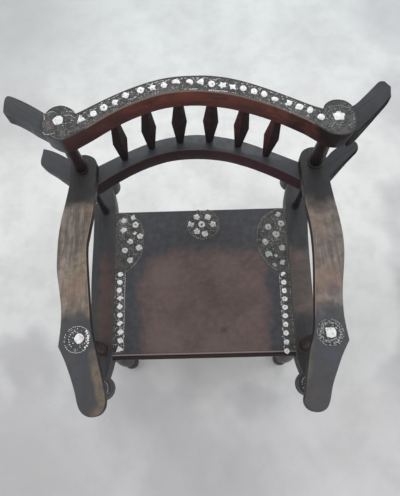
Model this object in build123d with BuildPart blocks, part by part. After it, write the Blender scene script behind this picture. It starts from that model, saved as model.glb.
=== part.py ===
from build123d import *
import math
import os

os.makedirs("parts", exist_ok=True)

# Driving sizes in millimetres. The floor is z = 0, the sitter faces -Y, and x = 0 is the middle.
chair_width = 766.0
chair_depth = 660.0
seat_height = 450.0
arm_rise = 242.0
crest_rise = 178.0

# Boards
rail_depth = 45.0
arm_thickness = 22.0
panel_thickness = 18.0
seat_rail_width = 24.0
ledge_width = 14.0
ledge_depth = 20.0
ledge_clearance = 0.5
nosing_radius = 4.0
bead_inset = 7.0
bead_width = 2.5
bead_depth = 1.5

# Bosses, lobes and horns
boss_radius = 33.0
elbow_radius = 25.0
front_disc_radius = 30.0
rear_disc_radius = 30.0
neck_bite = 5.0
arm_back_radius = 31.0
arm_front_radius = 26.0
horn_drop = 4.0
horn_corner_radius = 7.0
tongue_length = 11.0
tongue_width = 14.0
tongue_depth = 16.0

# Turned pieces
leg_radius = 23.0
foot_radius = 24.0
crest_post_radius = 15.0
rear_arm_post_radius = 9.5
front_arm_post_radius = 15.0
collar_radius = 18.0
rear_collar_radius = 12.5
collar_height = 6.0
stretcher_radius = 13.0
stretcher_end_radius = 8.0
cross_end_radius = 6.5
side_stretcher_height = 150.0
foot_cut_angle = 60.0

# Spindles
spindle_count = 6
spindle_end_width = 18.0
spindle_middle_width = 34.0
spindle_end_depth = 14.0
spindle_middle_depth = 22.0

# Joints
leg_tenon_radius = 12.0
leg_tenon_length = 20.0
post_tenon_radius = 7.0
post_tenon_length = 19.0
front_post_tenon_length = 12.0
spindle_tenon_radius = 5.0
spindle_tenon_length = 14.0
stretcher_tenon_length = 14.0
cross_tenon_length = 8.0
seat_rail_tenon_length = 9.0
seat_rail_tenon_shoulder = 4.0
peg_radius = 3.0
peg_bite = 4.0
tenon_clearance = 0.15
bore_end_clearance = 0.5
overrun = 5.0

# Inlay
inlay_depth = 2.0
chip_depth = 1.2
chip_clearance = 0.1
crest_chip_count = 22
crest_chip_radius = 6.5
boss_chip_radius = 9.5
arm_ground_radius = 25.5
arm_chip_radius = 11.5
ring_radius = 20.0
ring_width = 2.0
lobe_radius = 80.0
lobe_inset = 5.0
centre_ground_radius = 50.0
centre_chip_count = 6
strip_width = 24.0
strip_inset = 3.0
strip_chip_count = 10
strip_chip_radius = 6.5
seat_chip_radius = 8.5
chip_sides = 6
chip_turn = 23.0

# Plan points, as shares of half the width and half the depth, for the right side
rear_post_share = (0.701, 0.62)
front_post_share = (0.671, -0.548)
rail_back_shares = [(0.696, 0.620), (0.577, 0.692), (0.451, 0.768), (0.325, 0.838), (0.196, 0.893)]
rail_front_shares = [(0.650, 0.4945), (0.535, 0.581), (0.414, 0.664), (0.290, 0.739), (0.159, 0.789)]
rail_back_middle_share = (0.000, 0.922)
rail_front_middle_share = (0.000, 0.810)
elbow_share = (0.684, 0.559)
horn_root_front_share = (0.723, 0.501)
horn_tip_front_share = (1.0, 0.730)
horn_tip_back_share = (0.967, 0.842)
horn_root_back_share = (0.744, 0.655)
arm_back_centre_share = (0.692, 0.648)
arm_front_centre_share = (0.563, -0.921)
arm_outer_shares = [(0.785, 0.365), (0.804, 0.108), (0.787, -0.135), (0.754, -0.357), (0.749, -0.470)]
arm_tip_share = (0.757, -0.600)
arm_outer_front_shares = [(0.711, -0.692), (0.675, -0.779)]
arm_inner_shares = [(0.534, -0.723), (0.578, -0.515), (0.606, -0.260), (0.630, -0.030), (0.630, 0.150),
                    (0.617, 0.323)]
front_disc_share = (0.679, -0.830)
rear_disc_share = (0.700, 0.909)
seat_front_share = (0.604, -0.624)
seat_back_share = (0.618, 0.603)
side_rail_outer_shares = [(0.784, 0.618), (0.777, 0.303), (0.766, -0.061), (0.755, -0.333),
                          (0.737, -0.548)]
side_rail_inner_shares = [(0.634, 0.745), (0.622, 0.670)]
rear_neck_outer_share = 0.739
rear_neck_inner_share = 0.661
front_neck_outer_share = 0.718
front_neck_inner_share = 0.639
centre_ground_share = 0.47
lobe_centre_y_share = 0.358
strip_front_share = -0.600
spindle_pitch_share = 0.122
chip_pitch_share = 0.0385
centre_ring_share = 0.58
collar_edge_share = 0.33
lobe_chip_shares = [(-0.20, 0.70), (-0.50, 0.69), (-0.61, 0.44), (-0.21, 0.35), (-0.79, 0.12),
                    (-0.45, -0.07), (-0.75, -0.28), (-0.27, -0.38), (-0.47, -0.68)]

# How far the underside of a horn has risen, at shares of the way to its tip
horn_rise_shares = [(0.0, 0.0), (0.25, 0.20), (0.5, 0.47), (0.75, 0.66), (1.0, 0.76)]

# Turned profiles: share of the height, share of the largest radius
leg_profile_shares = [(0.13, 0.66), (0.17, 0.80), (0.30, 0.98), (0.42, 0.96), (0.60, 0.70), (0.74, 0.62)]
leg_block_share = 0.80
leg_neck_share = 0.115
foot_middle_share = 0.055
crest_post_profile_shares = [(0.06, 0.84), (0.22, 1.0), (0.45, 0.92), (0.75, 0.80), (0.96, 0.78)]
arm_post_profile_shares = [(0.04, 0.84), (0.22, 1.0), (0.55, 0.84), (0.80, 0.76), (0.96, 0.86)]
stretcher_profile_shares = [(0.0, 0.0), (0.08, 0.05), (0.5, 1.0), (0.92, 0.05), (1.0, 0.0)]

# Sizes and heights worked out from the driving sizes
half_width = chair_width / 2
half_depth = chair_depth / 2
arm_height = seat_height + arm_rise
crest_height = arm_height + crest_rise
side_rail_base = seat_height - rail_depth
panel_base = seat_height - panel_thickness
arm_base = arm_height - arm_thickness
back_rail_base = arm_base - rail_depth
crest_base = crest_height - rail_depth
sides = {"left": -1, "right": 1}
standing = (Align.CENTER, Align.CENTER, Align.MIN)


# Places of a share pair on one side of the chair
def place(share, side=1):
    return (side * share[0] * half_width, share[1] * half_depth)


def places(shares, side=1):
    return [place(share, side) for share in shares]


# The same points on both sides, run from left to right through the middle point
def across(shares, middle_share):
    return places(shares, -1) + [place(middle_share)] + places(shares[::-1], 1)


# Planes at a point of the plan, facing up or down
def facing_up(point, height):
    return Plane(origin=(point[0], point[1], height), z_dir=(0, 0, 1))


def facing_down(point, height):
    return Plane(origin=(point[0], point[1], height), x_dir=(1, 0, 0), z_dir=(0, 0, -1))


rear_posts = {name: place(rear_post_share, side) for name, side in sides.items()}
front_posts = {name: place(front_post_share, side) for name, side in sides.items()}

# Middle line of the bowed rails, which the spindles and the crest chips follow
rail_middle_points = [
    ((back[0] + front[0]) / 2, (back[1] + front[1]) / 2)
    for back, front in zip(
        across(rail_back_shares, rail_back_middle_share),
        across(rail_front_shares, rail_front_middle_share),
    )
]
with BuildLine() as rail_middle:
    Spline(*rail_middle_points)
middle_line = rail_middle.edge()


# A place on that line and the way the rail runs there
def along_rail(share):
    point = middle_line @ share
    tangent = middle_line % share
    return Location((point.X, point.Y, 0), math.degrees(math.atan2(tangent.Y, tangent.X)))


spindle_places = [
    along_rail(0.5 + spindle_pitch_share * (number - (spindle_count - 1) / 2))
    for number in range(spindle_count)
]
crest_chip_places = [
    along_rail(0.5 + chip_pitch_share * (number - (crest_chip_count - 1) / 2))
    for number in range(crest_chip_count)
]


# Bores that go down from a height, and bores that go up from it
def bore_down(points, height, radius, depth):
    with Locations(*[facing_up(point, height) for point in points]):
        Hole(radius + tenon_clearance, depth=depth + bore_end_clearance)


def bore_up(points, height, radius, depth):
    with Locations(*[facing_down(point, height) for point in points]):
        Hole(radius + tenon_clearance, depth=depth + bore_end_clearance)


# The round end of a bowed rail: a boss over the post, drawn out to the elbow in front of it
def boss_sketch(side, height):
    with BuildSketch(Plane.XY.offset(height)) as boss:
        with Locations(place(rear_post_share, side)):
            Circle(boss_radius)
        with Locations(place(elbow_share, side)):
            Circle(elbow_radius)
        make_hull()
    return boss.sketch


# A bowed rail: two long curves between two round ends
def make_bowed_rail(base, spindle_bores_down):
    with BuildPart() as rail:
        with BuildSketch(Plane.XY.offset(base)):
            with BuildLine():
                back_curve = Spline(*across(rail_back_shares, rail_back_middle_share))
                front_curve = Spline(*across(rail_front_shares, rail_front_middle_share))
                Line(back_curve @ 0, front_curve @ 0)
                Line(back_curve @ 1, front_curve @ 1)
            make_face()
            for side in sides.values():
                add(boss_sketch(side, base))
        extrude(amount=rail_depth)
        # Mortises for the tongues of the two horns
        for side in sides.values():
            post = place(rear_post_share, side)
            mortise_start = boss_radius - tongue_length - bore_end_clearance
            mortise_length = tongue_length + bore_end_clearance + overrun
            middle = (post[0] + side * (mortise_start + mortise_length / 2), post[1], base + rail_depth / 2)
            with Locations(middle):
                Box(
                    mortise_length,
                    tongue_width + 2 * tenon_clearance,
                    tongue_depth + 2 * tenon_clearance,
                    mode=Mode.SUBTRACT,
                )
        bore_up(rear_posts.values(), base, post_tenon_radius, post_tenon_length)
        spindle_points = [(spot.position.X, spot.position.Y) for spot in spindle_places]
        if spindle_bores_down:
            bore_down(rear_posts.values(), base + rail_depth, post_tenon_radius, post_tenon_length)
            bore_down(spindle_points, base + rail_depth, spindle_tenon_radius, spindle_tenon_length)
        else:
            bore_up(spindle_points, base, spindle_tenon_radius, spindle_tenon_length)
            # Pockets for the pearl chips in the top face
            with BuildSketch(Plane.XY.offset(crest_height)):
                with Locations(*crest_chip_places):
                    RegularPolygon(crest_chip_radius + chip_clearance, chip_sides, rotation=chip_turn)
                with Locations(*rear_posts.values()):
                    RegularPolygon(boss_chip_radius + chip_clearance, chip_sides, rotation=chip_turn)
            extrude(amount=-chip_depth, mode=Mode.SUBTRACT)
    return rail.part


# A horn: a wing that thins towards its tip, coped round the boss and let into it by a tongue
def make_horn(base, side):
    post = place(rear_post_share, side)
    root_front = place(horn_root_front_share, side)
    root_back = place(horn_root_back_share, side)
    tip_front = place(horn_tip_front_share, side)
    tip_back = place(horn_tip_back_share, side)
    root_middle = Vector((root_front[0] + root_back[0]) / 2, (root_front[1] + root_back[1]) / 2, base)
    tip_middle = Vector((tip_front[0] + tip_back[0]) / 2, (tip_front[1] + tip_back[1]) / 2, base)
    run = tip_middle - root_middle
    beside = Plane(origin=root_middle, x_dir=run, z_dir=run.cross(Vector(0, 0, 1)))
    with BuildPart() as horn:
        with BuildSketch(Plane.XY.offset(base)) as outline:
            with BuildLine():
                Polyline(root_front, tip_front, tip_back, root_back, close=True)
            make_face()
            outward = Axis((0, 0, 0), (side, 0, 0))
            fillet(outline.vertices().sort_by(outward)[-2:], radius=horn_corner_radius)
        extrude(amount=rail_depth - horn_drop)
        # The underside rises towards the tip
        with BuildSketch(beside):
            with BuildLine():
                rise = Spline(*[(run.length * run_share, rail_depth * rise_share)
                                for run_share, rise_share in horn_rise_shares])
                Polyline(rise @ 0, (0, -overrun), (run.length + overrun, -overrun),
                         (run.length + overrun, (rise @ 1).Y), rise @ 1)
            make_face()
        extrude(amount=half_width, both=True, mode=Mode.SUBTRACT)
        # Coped to fit round the rail's end
        add(boss_sketch(side, base))
        extrude(amount=rail_depth, mode=Mode.SUBTRACT)
        tongue_start = boss_radius - tongue_length
        tongue_run = tongue_length + overrun
        middle = (post[0] + side * (tongue_start + tongue_run / 2), post[1], base + rail_depth / 2)
        with Locations(middle):
            Box(tongue_run, tongue_width, tongue_depth)
    return horn.part


# A turned piece standing between two heights, with a tenon at each end
def make_turned_post(point, base, top, radius, profile_shares, tenons, collar):
    height = top - base
    lower_tenon, upper_tenon = tenons
    with BuildPart() as post:
        with BuildSketch(Plane.XZ):
            with BuildLine():
                flank = Spline(*[(radius * radius_share, base + height * height_share)
                                 for height_share, radius_share in profile_shares])
                Polyline(flank @ 1, ((flank @ 1).X, top), (0, top), (0, base),
                         ((flank @ 0).X, base), flank @ 0)
            make_face()
        revolve(axis=Axis.Z)
        with Locations((0, 0, base)):
            Cylinder(collar, collar_height, align=standing)
        ring = post.edges().filter_by(GeomType.CIRCLE).group_by(SortBy.RADIUS)[-1]
        fillet(ring, radius=collar_height * collar_edge_share)
        with Locations((0, 0, base - lower_tenon)):
            Cylinder(post_tenon_radius, lower_tenon, align=standing)
        with Locations((0, 0, top)):
            Cylinder(post_tenon_radius, upper_tenon, align=standing)
    return Pos(point[0], point[1], 0) * post.part


# Crest rail, its pearl and its horns
crest_rail = make_bowed_rail(crest_base, False)
crest_rail.label = "crest_rail"
export_step(crest_rail, "parts/crest_rail.step")

with BuildPart() as crest_pearl:
    with BuildSketch(Plane.XY.offset(crest_height)):
        with Locations(*crest_chip_places):
            RegularPolygon(crest_chip_radius, chip_sides, rotation=chip_turn)
        with Locations(*rear_posts.values()):
            RegularPolygon(boss_chip_radius, chip_sides, rotation=chip_turn)
    extrude(amount=-chip_depth)
crest_pearl.part.label = "crest_pearl"
export_step(crest_pearl.part, "parts/crest_pearl.step")

# Back rail at arm level
back_rail = make_bowed_rail(back_rail_base, True)
back_rail.label = "back_rail"
export_step(back_rail, "parts/back_rail.step")

for name, side in sides.items():
    for level, base in {"crest": crest_base, "back": back_rail_base}.items():
        horn = make_horn(base, side)
        horn.label = f"{level}_horn_{name}"
        export_step(horn, f"parts/{level}_horn_{name}.step")

# Spindles: lozenges with four flat faces, on round tenons
for number, spot in enumerate(spindle_places, start=1):
    spindle_middle = (arm_base + crest_base) / 2
    with BuildPart() as spindle:
        for height, width, depth in (
            (arm_base, spindle_end_width, spindle_end_depth),
            (spindle_middle, spindle_middle_width, spindle_middle_depth),
            (crest_base, spindle_end_width, spindle_end_depth),
        ):
            with BuildSketch(Plane.XY.offset(height)):
                with Locations(spot):
                    Polygon((width / 2, 0), (0, depth / 2), (-width / 2, 0), (0, -depth / 2))
        loft(ruled=True)
        with Locations(facing_down((spot.position.X, spot.position.Y), arm_base)):
            Cylinder(spindle_tenon_radius, spindle_tenon_length, align=standing)
        with Locations(facing_up((spot.position.X, spot.position.Y), crest_base)):
            Cylinder(spindle_tenon_radius, spindle_tenon_length, align=standing)
    spindle.part.label = f"back_spindle_{number}"
    export_step(spindle.part, f"parts/back_spindle_{number}.step")

# Posts: crest posts pass through the arms, arm posts stand on the side rails
for name in sides:
    crest_post = make_turned_post(
        rear_posts[name], arm_height, crest_base, crest_post_radius, crest_post_profile_shares,
        (arm_thickness + post_tenon_length, post_tenon_length), collar_radius,
    )
    crest_post.label = f"crest_post_{name}"
    export_step(crest_post, f"parts/crest_post_{name}.step")
    rear_arm_post = make_turned_post(
        rear_posts[name], seat_height, back_rail_base, rear_arm_post_radius, arm_post_profile_shares,
        (post_tenon_length, post_tenon_length), rear_collar_radius,
    )
    rear_arm_post.label = f"rear_arm_post_{name}"
    export_step(rear_arm_post, f"parts/rear_arm_post_{name}.step")
    front_arm_post = make_turned_post(
        front_posts[name], seat_height, arm_base, front_arm_post_radius, arm_post_profile_shares,
        (post_tenon_length, front_post_tenon_length), collar_radius,
    )
    front_arm_post.label = f"front_arm_post_{name}"
    export_step(front_arm_post, f"parts/front_arm_post_{name}.step")

# Arms: flat boards on the back rail's elbows and the front arm posts
for name, side in sides.items():
    back_centre = place(arm_back_centre_share, side)
    front_centre = place(arm_front_centre_share, side)
    outer_start = (back_centre[0] + side * arm_back_radius, back_centre[1])
    inner_end = (back_centre[0] - side * arm_back_radius, back_centre[1])
    outer_end = (front_centre[0] + side * arm_front_radius, front_centre[1])
    inner_start = (front_centre[0] - side * arm_front_radius, front_centre[1])
    front_tip = (front_centre[0], front_centre[1] - arm_front_radius)
    back_tip = (back_centre[0], back_centre[1] + arm_back_radius)
    with BuildPart() as arm:
        with BuildSketch(Plane.XY.offset(arm_base)):
            with BuildLine():
                Spline(outer_start, *places(arm_outer_shares, side), place(arm_tip_share, side))
                Spline(place(arm_tip_share, side), *places(arm_outer_front_shares, side), outer_end)
                ThreePointArc(outer_end, front_tip, inner_start)
                Spline(inner_start, *places(arm_inner_shares, side), inner_end)
                ThreePointArc(inner_end, back_tip, outer_start)
            make_face()
        extrude(amount=arm_thickness)
        with Locations(facing_up(rear_posts[name], arm_height)):
            Hole(post_tenon_radius + tenon_clearance)
        bore_up([front_posts[name]], arm_base, post_tenon_radius, front_post_tenon_length)
        with Locations(facing_up(front_posts[name], arm_height)):
            Hole(arm_ground_radius + chip_clearance, depth=inlay_depth)
    arm.part.label = f"arm_{name}"
    export_step(arm.part, f"parts/arm_{name}.step")

    with BuildPart() as arm_ground:
        with BuildSketch(Plane.XY.offset(arm_height)):
            with Locations(front_posts[name]):
                Circle(arm_ground_radius)
        extrude(amount=-inlay_depth)
        with BuildSketch(Plane.XY.offset(arm_height)):
            with Locations(front_posts[name]):
                RegularPolygon(arm_chip_radius + chip_clearance, chip_sides, rotation=chip_turn)
        extrude(amount=-chip_depth, mode=Mode.SUBTRACT)
    arm_ground.part.label = f"arm_inlay_ground_{name}"
    export_step(arm_ground.part, f"parts/arm_inlay_ground_{name}.step")

    with BuildPart() as arm_pearl:
        with BuildSketch(Plane.XY.offset(arm_height)):
            with Locations(front_posts[name]):
                RegularPolygon(arm_chip_radius, chip_sides, rotation=chip_turn)
        extrude(amount=-chip_depth)
    arm_pearl.part.label = f"arm_pearl_{name}"
    export_step(arm_pearl.part, f"parts/arm_pearl_{name}.step")

# Seat rails between the side rails: their plan edges follow the panel's sloping sides
seat_front = place(seat_front_share)
seat_back = place(seat_back_share)


def seat_half_width(y):
    share = (y - seat_front[1]) / (seat_back[1] - seat_front[1])
    return seat_front[0] + share * (seat_back[0] - seat_front[0])


def seat_trapezoid(front_y, back_y, inset=0):
    front_half = seat_half_width(front_y) - inset
    back_half = seat_half_width(back_y) - inset
    return [(-front_half, front_y), (front_half, front_y), (back_half, back_y), (-back_half, back_y)]


front_rail_face = seat_front[1] + nosing_radius
back_rail_face = seat_back[1] - nosing_radius
seat_rail_spans = {
    "seat_front_rail": (front_rail_face, front_rail_face + seat_rail_width),
    "seat_back_rail": (back_rail_face - seat_rail_width, back_rail_face),
}
seat_rail_height = panel_base - side_rail_base
seat_tenon_height = seat_rail_height - 2 * seat_rail_tenon_shoulder
seat_tenon_width = seat_rail_width - 2 * seat_rail_tenon_shoulder

for name, (front_y, back_y) in seat_rail_spans.items():
    middle_y = (front_y + back_y) / 2
    tenon_span = 2 * (seat_half_width(middle_y) + seat_rail_tenon_length)
    with BuildPart() as seat_rail:
        with BuildSketch(Plane.XY.offset(side_rail_base)):
            Polygon(*seat_trapezoid(front_y, back_y), align=None)
        extrude(amount=seat_rail_height)
        with Locations((0, middle_y, side_rail_base + seat_rail_height / 2)):
            Box(tenon_span, seat_tenon_width, seat_tenon_height)
    seat_rail.part.label = name
    export_step(seat_rail.part, f"parts/{name}.step")

# Seat panel with a rounded, beaded front edge and pockets for the inlay grounds
centre_ground_place = (0, centre_ground_share * half_depth)
strip_front_y = strip_front_share * half_depth


def lobe_centre(side):
    y = lobe_centre_y_share * half_depth
    return (side * (seat_half_width(y) - lobe_inset), y)


# One corner lobe with its long strip, kept inside the panel's own outline
def ground_sketch(side, spread=0):
    lobe = lobe_centre(side)
    strip_middle_y = (strip_front_y + lobe[1]) / 2
    strip_x = side * (seat_half_width(strip_middle_y) - strip_inset - strip_width / 2)
    with BuildSketch(Plane.XY.offset(seat_height)) as ground:
        with Locations(lobe):
            Circle(lobe_radius + spread)
        with Locations((strip_x, strip_middle_y)):
            Rectangle(strip_width + 2 * spread, lobe[1] - strip_front_y + 2 * spread)
        Polygon(*seat_trapezoid(seat_front[1], seat_back[1] - strip_inset + spread, strip_inset - spread),
                align=None, mode=Mode.INTERSECT)
    return ground.sketch


def centre_sketch(spread=0):
    with BuildSketch(Plane.XY.offset(seat_height)) as ground:
        with Locations(centre_ground_place):
            Circle(centre_ground_radius + spread)
        Polygon(*seat_trapezoid(seat_front[1], seat_back[1] - strip_inset + spread), align=None,
                mode=Mode.INTERSECT)
    return ground.sketch


with BuildPart() as seat_panel:
    with BuildSketch(Plane.XY.offset(panel_base)):
        Polygon(*seat_trapezoid(seat_front[1], seat_back[1]), align=None)
    extrude(amount=panel_thickness)
    front_edges = seat_panel.faces().sort_by(Axis.Y)[0].edges().filter_by(Axis.X)
    fillet(front_edges, radius=nosing_radius)
    with Locations((0, seat_front[1] + bead_inset, seat_height)):
        Box(chair_width, bead_width, 2 * bead_depth, mode=Mode.SUBTRACT)
    add(centre_sketch(chip_clearance))
    add(ground_sketch(-1, chip_clearance))
    add(ground_sketch(1, chip_clearance))
    extrude(amount=-inlay_depth, mode=Mode.SUBTRACT)
seat_panel.part.label = "seat_panel"
export_step(seat_panel.part, "parts/seat_panel.step")

# Chip places on the seat: rings of chips in the centre and the lobes, rows along the strips
centre_chip_ring = centre_ground_radius * centre_ring_share
ring_angles = [2 * math.pi * number / centre_chip_count for number in range(centre_chip_count)]
centre_chip_places = [centre_ground_place] + [
    (centre_chip_ring * math.cos(angle), centre_ground_place[1] + centre_chip_ring * math.sin(angle))
    for angle in ring_angles
]


def lobe_chip_places(side):
    lobe = lobe_centre(side)
    return [(lobe[0] + side * share[0] * lobe_radius, lobe[1] + share[1] * lobe_radius)
            for share in lobe_chip_shares]


def strip_chip_places(side):
    lobe = lobe_centre(side)
    row_back = lobe[1] - lobe_radius - 2 * strip_chip_radius
    row_front = strip_front_y + 2 * strip_chip_radius
    step = (row_back - row_front) / (strip_chip_count - 1)
    rows = [row_front + step * number for number in range(strip_chip_count)]
    return [(side * (seat_half_width(y) - strip_inset - strip_width / 2), y) for y in rows]


# Thin plates of ground with a pocket for each chip, and the chips themselves
def make_ground(sketch, groups):
    with BuildPart() as ground:
        add(sketch)
        extrude(amount=-inlay_depth)
        with BuildSketch(Plane.XY.offset(seat_height)):
            for points, radius in groups:
                with Locations(*points):
                    RegularPolygon(radius + chip_clearance, chip_sides, rotation=chip_turn)
        extrude(amount=-chip_depth, mode=Mode.SUBTRACT)
    return ground.part


def make_chips(points, radius):
    with BuildPart() as chips:
        with BuildSketch(Plane.XY.offset(seat_height)):
            with Locations(*points):
                RegularPolygon(radius, chip_sides, rotation=chip_turn)
        extrude(amount=-chip_depth)
    return chips.part


seat_inlay = {
    "seat_inlay_ground_centre": make_ground(centre_sketch(), [(centre_chip_places, seat_chip_radius)]),
    "seat_pearl_centre": make_chips(centre_chip_places, seat_chip_radius),
}
for name, side in sides.items():
    seat_inlay[f"seat_inlay_ground_{name}"] = make_ground(
        ground_sketch(side),
        [(lobe_chip_places(side), seat_chip_radius), (strip_chip_places(side), strip_chip_radius)],
    )
    seat_inlay[f"seat_pearl_lobe_{name}"] = make_chips(lobe_chip_places(side), seat_chip_radius)
    seat_inlay[f"seat_pearl_strip_{name}"] = make_chips(strip_chip_places(side), strip_chip_radius)
for name, piece in seat_inlay.items():
    piece.label = name
    export_step(piece, f"parts/{name}.step")

# Side rails: long boards that narrow to a neck and a round disc at each end
peg_height = side_rail_base + leg_tenon_length / 2
peg_reach = half_width - leg_tenon_radius + peg_bite


# A plane well outside the board, from which a peg's axis runs inwards to its bite in the tenon
def peg_plane(point, side):
    return Plane(origin=(point[0] + side * half_width, point[1], peg_height), z_dir=(-side, 0, 0))


# The board ends in two necks, which bite into the rear disc and the front disc
rear_neck_y = place(rear_disc_share)[1] - rear_disc_radius + neck_bite
front_neck_y = place(front_disc_share)[1] + front_disc_radius - neck_bite


def outer_points(side):
    rear_neck = (side * rear_neck_outer_share * half_width, rear_neck_y)
    front_neck = (side * front_neck_outer_share * half_width, front_neck_y)
    return [rear_neck, *places(side_rail_outer_shares, side), front_neck]


for name, side in sides.items():
    front_disc = place(front_disc_share, side)
    rear_disc = place(rear_disc_share, side)
    with BuildPart() as side_rail:
        with BuildSketch(Plane.XY.offset(side_rail_base)):
            with BuildLine():
                outer_curve = Spline(*outer_points(side))
                inner_curve = Spline(
                    (side * rear_neck_inner_share * half_width, rear_neck_y),
                    *places(side_rail_inner_shares, side),
                    place(seat_back_share, side),
                )
                Line(outer_curve @ 0, inner_curve @ 0)
                Polyline(
                    inner_curve @ 1,
                    place(seat_front_share, side),
                    (side * front_neck_inner_share * half_width, front_neck_y),
                    outer_curve @ 1,
                )
            make_face()
            with Locations(front_disc):
                Circle(front_disc_radius)
            with Locations(rear_disc):
                Circle(rear_disc_radius)
        extrude(amount=rail_depth)
        posts = [rear_posts[name], front_posts[name]]
        bore_up(posts, side_rail_base, leg_tenon_radius, leg_tenon_length)
        bore_down(posts, seat_height, post_tenon_radius, post_tenon_length)
        # Mortises for the seat rails
        for front_y, back_y in seat_rail_spans.values():
            middle_y = (front_y + back_y) / 2
            mortise_end = seat_half_width(middle_y) + seat_rail_tenon_length + bore_end_clearance
            with Locations((side * mortise_end / 2, middle_y, side_rail_base + seat_rail_height / 2)):
                Box(
                    mortise_end,
                    seat_tenon_width + 2 * tenon_clearance,
                    seat_tenon_height + 2 * tenon_clearance,
                    mode=Mode.SUBTRACT,
                )
        # Bores for the pegs that pin the leg tenons
        with Locations(*[peg_plane(point, side) for point in posts]):
            Hole(peg_radius + tenon_clearance, depth=peg_reach)
        # Groove for the inlaid ring on the front disc
        with BuildSketch(Plane.XY.offset(seat_height)):
            with Locations(front_disc):
                Circle(ring_radius + chip_clearance)
                Circle(ring_radius - ring_width - chip_clearance, mode=Mode.SUBTRACT)
        extrude(amount=-chip_depth, mode=Mode.SUBTRACT)
    side_rail.part.label = f"side_rail_{name}"
    export_step(side_rail.part, f"parts/side_rail_{name}.step")

    with BuildPart() as side_ring:
        with BuildSketch(Plane.XY.offset(seat_height)):
            with Locations(front_disc):
                Circle(ring_radius)
                Circle(ring_radius - ring_width, mode=Mode.SUBTRACT)
        extrude(amount=-chip_depth)
    side_ring.part.label = f"side_rail_ring_{name}"
    export_step(side_ring.part, f"parts/side_rail_ring_{name}.step")

    # Pegs, trimmed to the curved outer side of the board
    with BuildPart() as pegs:
        with Locations(*[peg_plane(point, side) for point in posts]):
            Cylinder(peg_radius, peg_reach, align=standing)
        with BuildSketch(Plane.XY.offset(side_rail_base)):
            with BuildLine():
                outer_curve = Spline(*outer_points(side))
                Polyline(outer_curve @ 0, (0, (outer_curve @ 0).Y), (0, (outer_curve @ 1).Y), outer_curve @ 1)
            make_face()
        extrude(amount=rail_depth, mode=Mode.INTERSECT)
    pegs.part.label = f"side_rail_pegs_{name}"
    export_step(pegs.part, f"parts/side_rail_pegs_{name}.step")

    # Ledge under the panel, against the inner face of the side rail
    ledge_front = seat_rail_spans["seat_front_rail"][1] + ledge_clearance
    ledge_back = seat_rail_spans["seat_back_rail"][0] - ledge_clearance
    with BuildPart() as ledge:
        with BuildSketch(Plane.XY.offset(panel_base - ledge_depth)):
            Polygon(
                (side * seat_half_width(ledge_front), ledge_front),
                (side * seat_half_width(ledge_back), ledge_back),
                (side * (seat_half_width(ledge_back) - ledge_width), ledge_back),
                (side * (seat_half_width(ledge_front) - ledge_width), ledge_front),
                align=None,
            )
        extrude(amount=ledge_depth)
    ledge.part.label = f"seat_ledge_{name}"
    export_step(ledge.part, f"parts/seat_ledge_{name}.step")

# Legs: ball foot, neck, swelling, waist and a plain block under the side rail
foot_middle = foot_middle_share * side_rail_base
neck_height = leg_neck_share * side_rail_base
block_base = leg_block_share * side_rail_base
foot_flat_radius = foot_radius * math.cos(math.radians(foot_cut_angle))
stretcher_start = leg_radius - stretcher_tenon_length
stretcher_ends = {
    name: {
        "front": Vector(*front_posts[name], side_stretcher_height),
        "rear": Vector(*rear_posts[name], side_stretcher_height),
    }
    for name in sides
}


# Plane near the axis of a leg, facing the other leg on that side
def stretcher_plane(name, row, distance):
    start = stretcher_ends[name][row]
    other = stretcher_ends[name]["rear" if row == "front" else "front"]
    run = (other - start).normalized()
    return Plane(origin=start + run * distance, z_dir=run)


def make_turned_leg():
    with BuildPart() as leg:
        with BuildSketch(Plane.XZ):
            with BuildLine():
                flank = Spline(*[(leg_radius * radius_share, side_rail_base * height_share)
                                 for height_share, radius_share in leg_profile_shares])
                Polyline(flank @ 1, (leg_radius, block_base), (leg_radius, side_rail_base),
                         (0, side_rail_base), (0, neck_height), ((flank @ 0).X, neck_height), flank @ 0)
            make_face()
            with BuildLine():
                foot_arc = ThreePointArc(
                    (foot_flat_radius, 0), (foot_radius, foot_middle), (foot_flat_radius, neck_height))
                Polyline(foot_arc @ 1, (0, neck_height), (0, 0), foot_arc @ 0)
            make_face()
        revolve(axis=Axis.Z)
        with Locations((0, 0, side_rail_base)):
            Cylinder(leg_tenon_radius, leg_tenon_length, align=standing)
    return leg.part


for row, posts in {"front": front_posts, "rear": rear_posts}.items():
    for name, side in sides.items():
        turned = Pos(*posts[name], 0) * make_turned_leg()
        with BuildPart() as leg:
            add(turned)
            with Locations(stretcher_plane(name, row, stretcher_start - bore_end_clearance)):
                Cylinder(
                    stretcher_end_radius + tenon_clearance,
                    leg_radius,
                    align=standing,
                    mode=Mode.SUBTRACT,
                )
            with Locations(peg_plane(posts[name], side)):
                Hole(peg_radius + tenon_clearance, depth=peg_reach)
        leg.part.label = f"{row}_leg_{name}"
        export_step(leg.part, f"parts/{row}_leg_{name}.step")


# A stretcher swells in the middle and runs into its bores without a shoulder
def make_stretcher(start_plane, length, end_radius):
    with BuildPart() as stretcher:
        with BuildSketch(Plane.XZ):
            with BuildLine():
                swell = stretcher_radius - end_radius
                flank = Spline(*[(end_radius + swell * swell_share, length * run_share)
                                 for run_share, swell_share in stretcher_profile_shares])
                Polyline(flank @ 1, (0, length), (0, 0), flank @ 0)
            make_face()
        revolve(axis=Axis.Z)
    return start_plane.location * stretcher.part


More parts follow.
